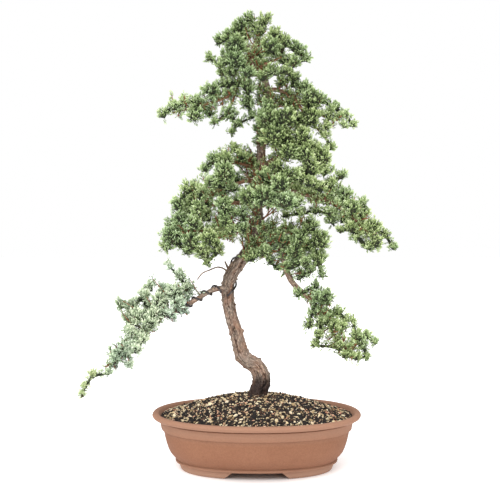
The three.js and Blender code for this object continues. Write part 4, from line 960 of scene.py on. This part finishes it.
def make_fine_twigs(name, rows, sprigs, seed):
    """Twigs by chance along the limbs, and sprigs that are each given."""
    store = empty_store()
    add_fine_twigs(store, rows, seed)
    for route in sprigs:
        places, _ = spline(route, LIMB_STEP)
        sweep_twig(store, places, np.linspace(*SPRIG_RADII, len(places)), SPRIG_BARE)
    twigs = wood_piece_from(name, store)
    hand_over(twigs, "bark")
    return twigs


# Soil and grit

def make_soil():
    """The mound of loam, down to the pot's floor."""
    rings = [oval_ring(inset + SOIL_GAP, height, SOIL_SIDES) for inset, height in SOIL_WALLS]
    edge = [(p - POT_MIDDLE) / MM for p in rings[-1]]
    for ring in range(1, SOIL_RINGS):
        share = 1 - ring / SOIL_RINGS
        height = SOIL_EDGE_HEIGHT + SOIL_RISE * (1 - share ** 2) ** SOIL_CURVE
        made = []
        for p in edge:
            x, y = p[0] * share, p[1] * share
            rough = noise.fractal(Vector((x, y, 0)) / 9, 0.8, 2.1, 4) * SOIL_ROUGHNESS
            made.append(at([x, y, height + rough]))
        rings.append(made)
    return new_piece("potting_soil", *closed_loft(rings), LOAM)


def make_grit_kinds(name, count, size, seed):
    """Angular grains: balls of few faces with every corner moved."""
    draw = random.Random(seed)
    store = bpy.data.collections.new(name)
    for k in range(count):
        ball = bmesh.new()
        bmesh.ops.create_icosphere(ball, subdivisions=1, radius=size / 2 * MM)
        stretch = [draw.uniform(*limits) for limits in GRAIN_STRETCHES]
        for vertex in ball.verts:
            wander = draw.uniform(*GRAIN_WANDER)
            vertex.co = Vector([c * s * wander for c, s in zip(vertex.co, stretch)])
        mesh = bpy.data.meshes.new(f"{name}_{k}")
        ball.to_mesh(mesh)
        ball.free()
        store.objects.link(bpy.data.objects.new(mesh.name, mesh))
    return store


def grit_tree():
    """Grains scattered over the top of the soil, kept apart, each turned and toned by chance."""
    tree, into = begin_tree("scatter_grit", {
        "Coarse": "Collection", "Fine": "Collection", "Coarse apart": "Float", "Fine apart": "Float",
        "Soil edge": "Float", "Seed": "Int", "Finish": "Material"})
    height = part_of(tree, add_node(tree, "GeometryNodeInputPosition").outputs[0], "Z")
    steepness = part_of(tree, add_node(tree, "GeometryNodeInputNormal").outputs[0], "Z")
    on_top = add_node(tree, "FunctionNodeBooleanMath", {
        0: is_above(tree, height, into["Soil edge"]), 1: is_above(tree, steepness, GRIT_STEEPEST)},
        operation="AND").outputs[0]
    grains = []
    for step, kinds in enumerate(("Coarse", "Fine")):
        seed = add_math(tree, "ADD", into["Seed"], step)
        points, _ = scatter(
            tree, into["Geometry"], into[f"{kinds} apart"], GRIT_TRIES, seed, {"Selection": on_top})
        copies = set_copies(tree, points, into[kinds], {
            "Rotation": chance_between(tree, "FLOAT_VECTOR", (0, 0, 0), GRAIN_TURNS, seed),
            "Scale": chance_between(tree, "FLOAT_VECTOR", GRAIN_LEAST, GRAIN_MOST, seed)})
        tone = chance_between(tree, "FLOAT", 0, 1, seed)
        grains.append(store_value(tree, copies, "tone", tone, "FLOAT", "INSTANCE"))
    return end_tree(tree, (join(tree, grains), into["Finish"]))


def make_grit(soil):
    """The loose grains on the soil."""
    grit = place_object("surface_grit", soil.data.copy())
    grow_modifier(grit, grit_tree(), {
        "Coarse": make_grit_kinds("coarse_grain", COARSE_KINDS, COARSE_GRAIN, seed=5),
        "Fine": make_grit_kinds("fine_grain", FINE_KINDS, FINE_GRAIN, seed=6),
        "Coarse apart": COARSE_GRAINS_APART * MM,
        "Fine apart": FINE_GRAINS_APART * MM,
        "Soil edge": (SOIL_EDGE_HEIGHT + 0.2) * MM,
        "Seed": 4,
        "Finish": GRIT,
    })
    return settle(grit)


# Wires

def helix(name, start, turns, pitch, phase, gap):
    """Places of a wire round a limb, from a distance along it, with a gap above its radius."""
    places, radii, _ = limb_line(name)
    frames, runs = carried_frames(places), run_lengths(places)
    steps = round(turns * WIRE_STEPS_A_TURN)
    route = []
    for k in range(steps + 1):
        along = start + k / steps * turns * pitch
        here = min(np.searchsorted(runs, along), len(runs) - 1)
        centre = [np.interp(along, runs, places[:, axis]) for axis in range(3)]
        side, up = frames[here]
        angle = phase + k / WIRE_STEPS_A_TURN * 2 * math.pi
        reach = np.interp(along, runs, radii) + WIRE_RADIUS + gap
        route.append(at(np.array(centre) + reach * (math.cos(angle) * side + math.sin(angle) * up)))
    return route


def wire_tree():
    """A round wire along a line of points."""
    tree, into = begin_tree("round_wire", {"Radius": "Float", "Sides": "Int", "Finish": "Material"})
    line = add_node(tree, "GeometryNodeMeshToCurve", {"Mesh": into["Geometry"]}).outputs[0]
    section = add_node(tree, "GeometryNodeCurvePrimitiveCircle", {
        "Resolution": into["Sides"], "Radius": into["Radius"]}).outputs[0]
    swept = add_node(tree, "GeometryNodeCurveToMesh", {
        "Curve": line, "Profile Curve": section, "Fill Caps": True}).outputs[0]
    smooth = add_node(tree, "GeometryNodeSetShadeSmooth", {"Geometry": swept}).outputs[0]
    return end_tree(tree, (smooth, into["Finish"]))


def wind_wire(tree, name, node, *winding):
    """One length of wire, wound as helix() says."""
    route = helix(*winding)
    mesh = bpy.data.meshes.new(name)
    mesh.from_pydata([tuple(p) for p in route], [(k, k + 1) for k in range(len(route) - 1)], [])
    wire = place_object(name, mesh)
    grow_modifier(wire, tree, {"Radius": WIRE_RADIUS * MM, "Sides": WIRE_SIDES, "Finish": WIRE})
    settle(wire)
    hand_over(wire, "wire", node)


# Foliage

SHOOT_INPUTS = {
    "Shoots": "Collection", "Smallest": "Float", "Largest": "Float", "Rise": "Float",
    "Apart": "Float", "Seed": "Int", "Leaves": "Material",
}


def add_leaf(store, root, direction, side, length, youth):
    """One closed scale leaf of four faces: it widens from a pointed foot to a slanting blunt end."""
    across = np.cross(direction, side)
    first = len(store["points"])
    for k, reach in enumerate(LEAF_CORNERS):
        angle = k / 3 * 2 * math.pi
        out = math.sin(angle) * side + math.cos(angle) * across
        store["points"].append(root + direction * length * reach + LEAF_WIDTH / 2 * out)
        store["youth"].append(youth + LEAF_END_YOUNGER * reach)
    store["points"].append(root)
    store["youth"].append(youth - LEAF_FOOT_OLDER)
    a, b, c, foot = range(first, first + 4)
    store["faces"] += [(a, c, b), (a, b, foot), (b, c, foot), (c, a, foot)]


def make_shoot(seed):
    """A finger along +Z from the origin: whorls of leaves that close in towards its tip."""
    draw = random.Random(seed)
    store = {"points": [], "faces": [], "youth": []}
    turn = draw.uniform(0, 2 * math.pi)
    bend = np.array([draw.uniform(-SHOOT_BEND, SHOOT_BEND), draw.uniform(-SHOOT_BEND, SHOOT_BEND), 1])
    for whorl in range(SHOOT_WHORLS):
        share = whorl / SHOOT_WHORLS
        foot = bend * SHOOT_LENGTH * (0.04 + 0.6 * share)
        lean = math.radians(LEAF_LEANS[0] + (LEAF_LEANS[1] - LEAF_LEANS[0]) * share)
        for k in range(LEAVES_A_WHORL):
            even = turn + whorl * math.pi / 2 + k / LEAVES_A_WHORL * 2 * math.pi
            angle = even + draw.uniform(-LEAF_TURNS, LEAF_TURNS)
            out = np.array([math.cos(angle), math.sin(angle), 0])
            side = np.array([-math.sin(angle), math.cos(angle), 0])
            slant = lean * draw.uniform(*LEAF_SIZES)
            leaf = math.sin(slant) * out + math.cos(slant) * np.array([0, 0, 1])
            length = LEAF_LENGTH * draw.uniform(*LEAF_SIZES)
            youth = LOW_LEAF_YOUTH + HIGH_LEAVES_YOUNGER * share + draw.uniform(-LEAF_TONES, LEAF_TONES)
            add_leaf(store, foot, leaf, side, length, youth)
    add_leaf(store, bend * (SHOOT_LENGTH - LEAF_LENGTH), bend / np.linalg.norm(bend),
             np.array([1.0, 0, 0]), LEAF_LENGTH, TIP_LEAF_YOUTH)
    mesh = bpy.data.meshes.new(f"shoot_{seed}")
    mesh.from_pydata([tuple(p * MM) for p in store["points"]], [], store["faces"])
    add_attribute(mesh, "leaf_youth", store["youth"])
    return bpy.data.objects.new(f"shoot_{seed}", mesh)


def make_shoot_kinds():
    store = bpy.data.collections.new("shoot_kinds")
    for seed in range(SHOOT_KINDS):
        store.objects.link(make_shoot(seed + 1))
    return store


def set_shoots(tree, into, points, heading, spread, step, tones):
    """Fingers on points, each with its own kind, size, turn and tone. Its foot is on the point."""
    seed = add_math(tree, "ADD", into["Seed"], step)
    stray = chance_between(tree, "FLOAT_VECTOR", (-spread,) * 3, (spread,) * 3, seed)
    rise = add_node(tree, "ShaderNodeCombineXYZ", {"Z": into["Rise"]}).outputs[0]
    leant = add_vector_math(tree, "ADD", add_vector_math(tree, "ADD", heading, rise), stray)
    spin = chance_between(tree, "FLOAT_VECTOR", (0, 0, 0), (0, 0, 2 * math.pi), seed)
    turned = add_node(tree, "FunctionNodeAlignRotationToVector", {
        "Rotation": spin, "Vector": leant}, axis="Z").outputs[0]
    shoots = set_copies(tree, points, into["Shoots"], {
        "Instance Index": chance_between(tree, "INT", 0, SHOOT_KINDS - 1, seed),
        "Rotation": turned,
        "Scale": chance_between(tree, "FLOAT", into["Smallest"], into["Largest"], seed)})
    tone = chance_between(tree, "FLOAT", *tones, seed)
    return store_value(tree, shoots, "shoot_tone", tone, "FLOAT", "INSTANCE")


def foliage_tree():
    """Fingers on each point of a spray and all over its heart, which stays inside as dark twigs that also
    paint shade deep in the spray.
    A point is a corner with three neighbours. Blurring places once gives the middle of the point
    and its neighbours, and from it the middle of the point's foot."""
    tree, into = begin_tree("grow_shoots", {
        **SHOOT_INPUTS, "Shoot length": "Float", "Point kept": "Float", "Twigs": "Material"})
    place = add_node(tree, "GeometryNodeInputPosition").outputs[0]
    around = add_node(tree, "GeometryNodeInputMeshVertexNeighbors").outputs["Vertex Count"]
    is_point = add_node(tree, "FunctionNodeCompare", {2: around, 3: 3},
                        data_type="INT", operation="EQUAL").outputs[0]
    middle = add_node(tree, "GeometryNodeBlurAttribute", {0: place}, data_type="FLOAT_VECTOR").outputs[0]
    found = scaled(tree, add_vector_math(tree, "SUBTRACT", place, middle), 4 / 3)
    known = store_value(tree, into["Geometry"], "shoot_axis", found, "FLOAT_VECTOR", "POINT")
    axis = stored_value(tree, "shoot_axis", "FLOAT_VECTOR")
    heading = add_vector_math(tree, "NORMALIZE", axis)
    points = add_node(tree, "GeometryNodeMeshToPoints", {"Mesh": known, "Selection": is_point}).outputs[0]

    def feet(least, most, step):
        """The points, moved back along their headings by between these many shoot lengths."""
        seed = add_math(tree, "ADD", into["Seed"], step)
        lengths = chance_between(tree, "FLOAT", -most, -least, seed)
        back = scaled(tree, heading, add_math(tree, "MULTIPLY", into["Shoot length"], lengths))
        return add_node(tree, "GeometryNodeSetPosition", {"Geometry": points, "Offset": back}).outputs[0]

    pulled = scaled(tree, axis, add_math(tree, "SUBTRACT", into["Point kept"], 1))
    heart = add_node(tree, "GeometryNodeSetPosition", {
        "Geometry": known, "Selection": is_point, "Offset": pulled}).outputs[0]
    cover, outwards = scatter(tree, heart, into["Apart"], HEART_TRIES, into["Seed"])
    sets = [set_shoots(tree, into, feet(*LEAD_SHOOTS_BACK, 0), heading, LEAD_SPREAD, 1, LEAD_TONES)]
    for step in range(2, 2 + SIDE_SHOOTS):
        side_feet = feet(*SIDE_SHOOTS_BACK, step)
        sets.append(set_shoots(tree, into, side_feet, heading, SIDE_SPREAD, step, SIDE_TONES))
    sets.append(set_shoots(tree, into, cover, outwards, HEART_SPREAD, 9, SHADED_HEART_TONES))
    return end_tree(tree, (heart, into["Twigs"]), (join(tree, sets), into["Leaves"]))


def limb_shoot_tree():
    """Fingers along the leafy stretches of the limbs, without the limbs."""
    tree, into = begin_tree("grow_limb_shoots", {
        **SHOOT_INPUTS, "Darkest tone": "Float", "Lightest tone": "Float"})
    points, outwards = scatter(
        tree, into["Geometry"], into["Apart"], LIMB_TRIES, into["Seed"],
        {"Density Factor": stored_value(tree, "leafy", "FLOAT")})
    shoots = set_shoots(tree, into, points, outwards, HEART_SPREAD, 1,
                        (into["Darkest tone"], into["Lightest tone"]))
    return end_tree(tree, (shoots, into["Leaves"]))


def shoot_values(kinds, sizes, apart, seed, leaves):
    return {
        "Shoots": kinds, "Smallest": sizes[0], "Largest": sizes[1], "Rise": SHOOT_RISE,
        "Apart": apart * MM, "Seed": seed, "Leaves": leaves,
    }


def merged_copy(node, name):
    """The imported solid's mesh with its loose triangles joined at their corners."""
    copy = place_object(name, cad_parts[node].data.copy())
    weld = copy.modifiers.new("weld", "WELD")
    weld.merge_threshold = WELD_WITHIN
    settle(copy)
    copy.data.materials.clear()
    copy.data.polygons.foreach_set("use_smooth", [True] * len(copy.data.polygons))
    return copy


def make_foliage(kinds):
    """Each packed spray, grown over with leaves."""
    tree = foliage_tree()
    names = sorted(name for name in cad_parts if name.startswith("foliage_"))
    for count, node in enumerate(names):
        spray = node.removeprefix("foliage_")
        look = [SHOOT_SIZES, HEART_APART, GREEN_LEAF, "foliage_green"]
        if spray.startswith("low_left"):
            look = [LOW_LEFT_SIZES, LOW_LEFT_HEART_APART, BLUE_LEAF, "foliage_blue_green"]
        if spray == "low_left_tip":
            look[0] = LOW_LEFT_TIP_SIZES
        sizes, apart, leaves, slot = look
        piece = merged_copy(node, f"spray_{spray}")
        grow_modifier(piece, tree, {
            **shoot_values(kinds, sizes, apart, 20 * count + 1, leaves),
            "Shoot length": SHOOT_LENGTH * MM, "Point kept": POINT_KEPT, "Twigs": SHADED_TWIG,
        })
        settle(piece)
        hand_over(piece, slot, node)


def make_limb_shoots(kinds, tree, name, wood, sizes, apart, seed, leaves, tones, slot):
    """Leaves along a piece of wood."""
    shoots = place_object(name, wood.data.copy())
    grow_modifier(shoots, tree, {
        **shoot_values(kinds, sizes, apart, seed, leaves),
        "Darkest tone": tones[0], "Lightest tone": tones[1]})
    settle(shoots)
    hand_over(shoots, slot)


# Stage: a pale floor, soft light and the camera

def floor_finish():
    """A pale floor that glows, as painted light that washes out its shadows, but not under the pot, where a
    contact shadow is left.
    """
    finish, tree, shader, place = new_finish("pale_floor", 0.9)
    shader.inputs["Base Color"].default_value = colour(*FLOOR_TONE)
    shader.inputs["Emission Color"].default_value = WHITE
    away = add_node(tree, "ShaderNodeVectorMath", {0: place, 1: tuple(POT_MIDDLE)},
                    operation="DISTANCE").outputs["Value"]
    # Painted light: the glow grows from nothing near the pot to its full strength farther out.
    tree.links.new(add_range(tree, away, *GLOW_EDGE, FLOOR_GLOW), shader.inputs["Emission Strength"])
    return finish


def make_stage():
    half = FLOOR_SIZE / 2
    corners = [(-half, -half, 0), (half, -half, 0), (half, half, 0), (-half, half, 0)]
    floor = new_piece("floor", corners, [(0, 1, 2, 3)], floor_finish())
    bpy.context.scene.view_settings.view_transform = "Standard"


def make_room():
    """Even light from all round, and a white backdrop behind the object."""
    world = bpy.data.worlds.new("soft_room")
    world.use_nodes = True
    tree = world.node_tree
    tree.nodes.clear()
    lit = add_node(tree, "ShaderNodeBackground", {"Color": WHITE, "Strength": ROOM_LIGHT})
    seen = add_node(tree, "ShaderNodeBackground", {"Color": WHITE, "Strength": 1})
    mixed = add_node(tree, "ShaderNodeMixShader", {
        0: add_node(tree, "ShaderNodeLightPath").outputs["Is Camera Ray"],
        1: lit.outputs[0], 2: seen.outputs[0]})
    done = add_node(tree, "ShaderNodeOutputWorld", {"Surface": mixed.outputs[0]})
    done.is_active_output = True
    bpy.context.scene.world = world


def make_lights():
    make_room()
    for name, towards, spread, strength in SUNS:
        light = bpy.data.lights.new(name, "SUN")
        light.angle = math.radians(spread)
        light.energy = strength
        place_object(name, light).rotation_euler = Vector(towards).to_track_quat("-Z", "Y").to_euler()


def make_camera():
    data = bpy.data.cameras.new("camera")
    data.sensor_width = CAMERA_SENSOR
    data.lens = CAMERA_LENS
    camera = place_object("camera", data)
    camera.location = Vector(at(CAMERA_PLACE))
    camera.rotation_euler = (math.pi / 2, 0, 0)
    bpy.context.scene.camera = camera


make_camera()
make_stage()
make_lights()
make_pot()
soil_piece = make_soil()
grit_piece = make_grit(soil_piece)
hand_over(soil_piece, "soil", "soil")
hand_over(grit_piece, "soil")
wood_piece = make_wood()
twig_piece = make_fine_twigs("fine_twigs", FINE_TWIGS, [], seed=11)
low_left_twig_piece = make_fine_twigs("fine_twigs_low_left", LOW_LEFT_TWIGS, SPRIGS, seed=12)
shoot_kinds = make_shoot_kinds()
round_wire = wire_tree()
for wire_row in WIRES:
    wind_wire(round_wire, *wire_row)
make_foliage(shoot_kinds)
limb_shoots = limb_shoot_tree()
for shoot_row in (
    ("shoots_along_limbs", wood_piece, SHOOT_SIZES, LIMB_SHOOTS_APART, 3,
     GREEN_LEAF, LIMB_TONES, "foliage_green"),
    ("shoots_along_twigs", twig_piece, SHOOT_SIZES, TWIG_SHOOTS_APART, 5,
     GREEN_LEAF, LIMB_TONES, "foliage_green"),
    ("shoots_along_low_left_twigs", low_left_twig_piece, LOW_LEFT_SIZES, LOW_LEFT_SHOOTS_APART, 7,
     BLUE_LEAF, SPRIG_TONES, "foliage_blue_green"),
):
    make_limb_shoots(shoot_kinds, limb_shoots, *shoot_row)
for side in ("left", "right"):
    screen_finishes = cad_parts[f"drain_screen_{side}"].data.materials
    screen_finishes.clear()
    screen_finishes.append(PLASTIC)
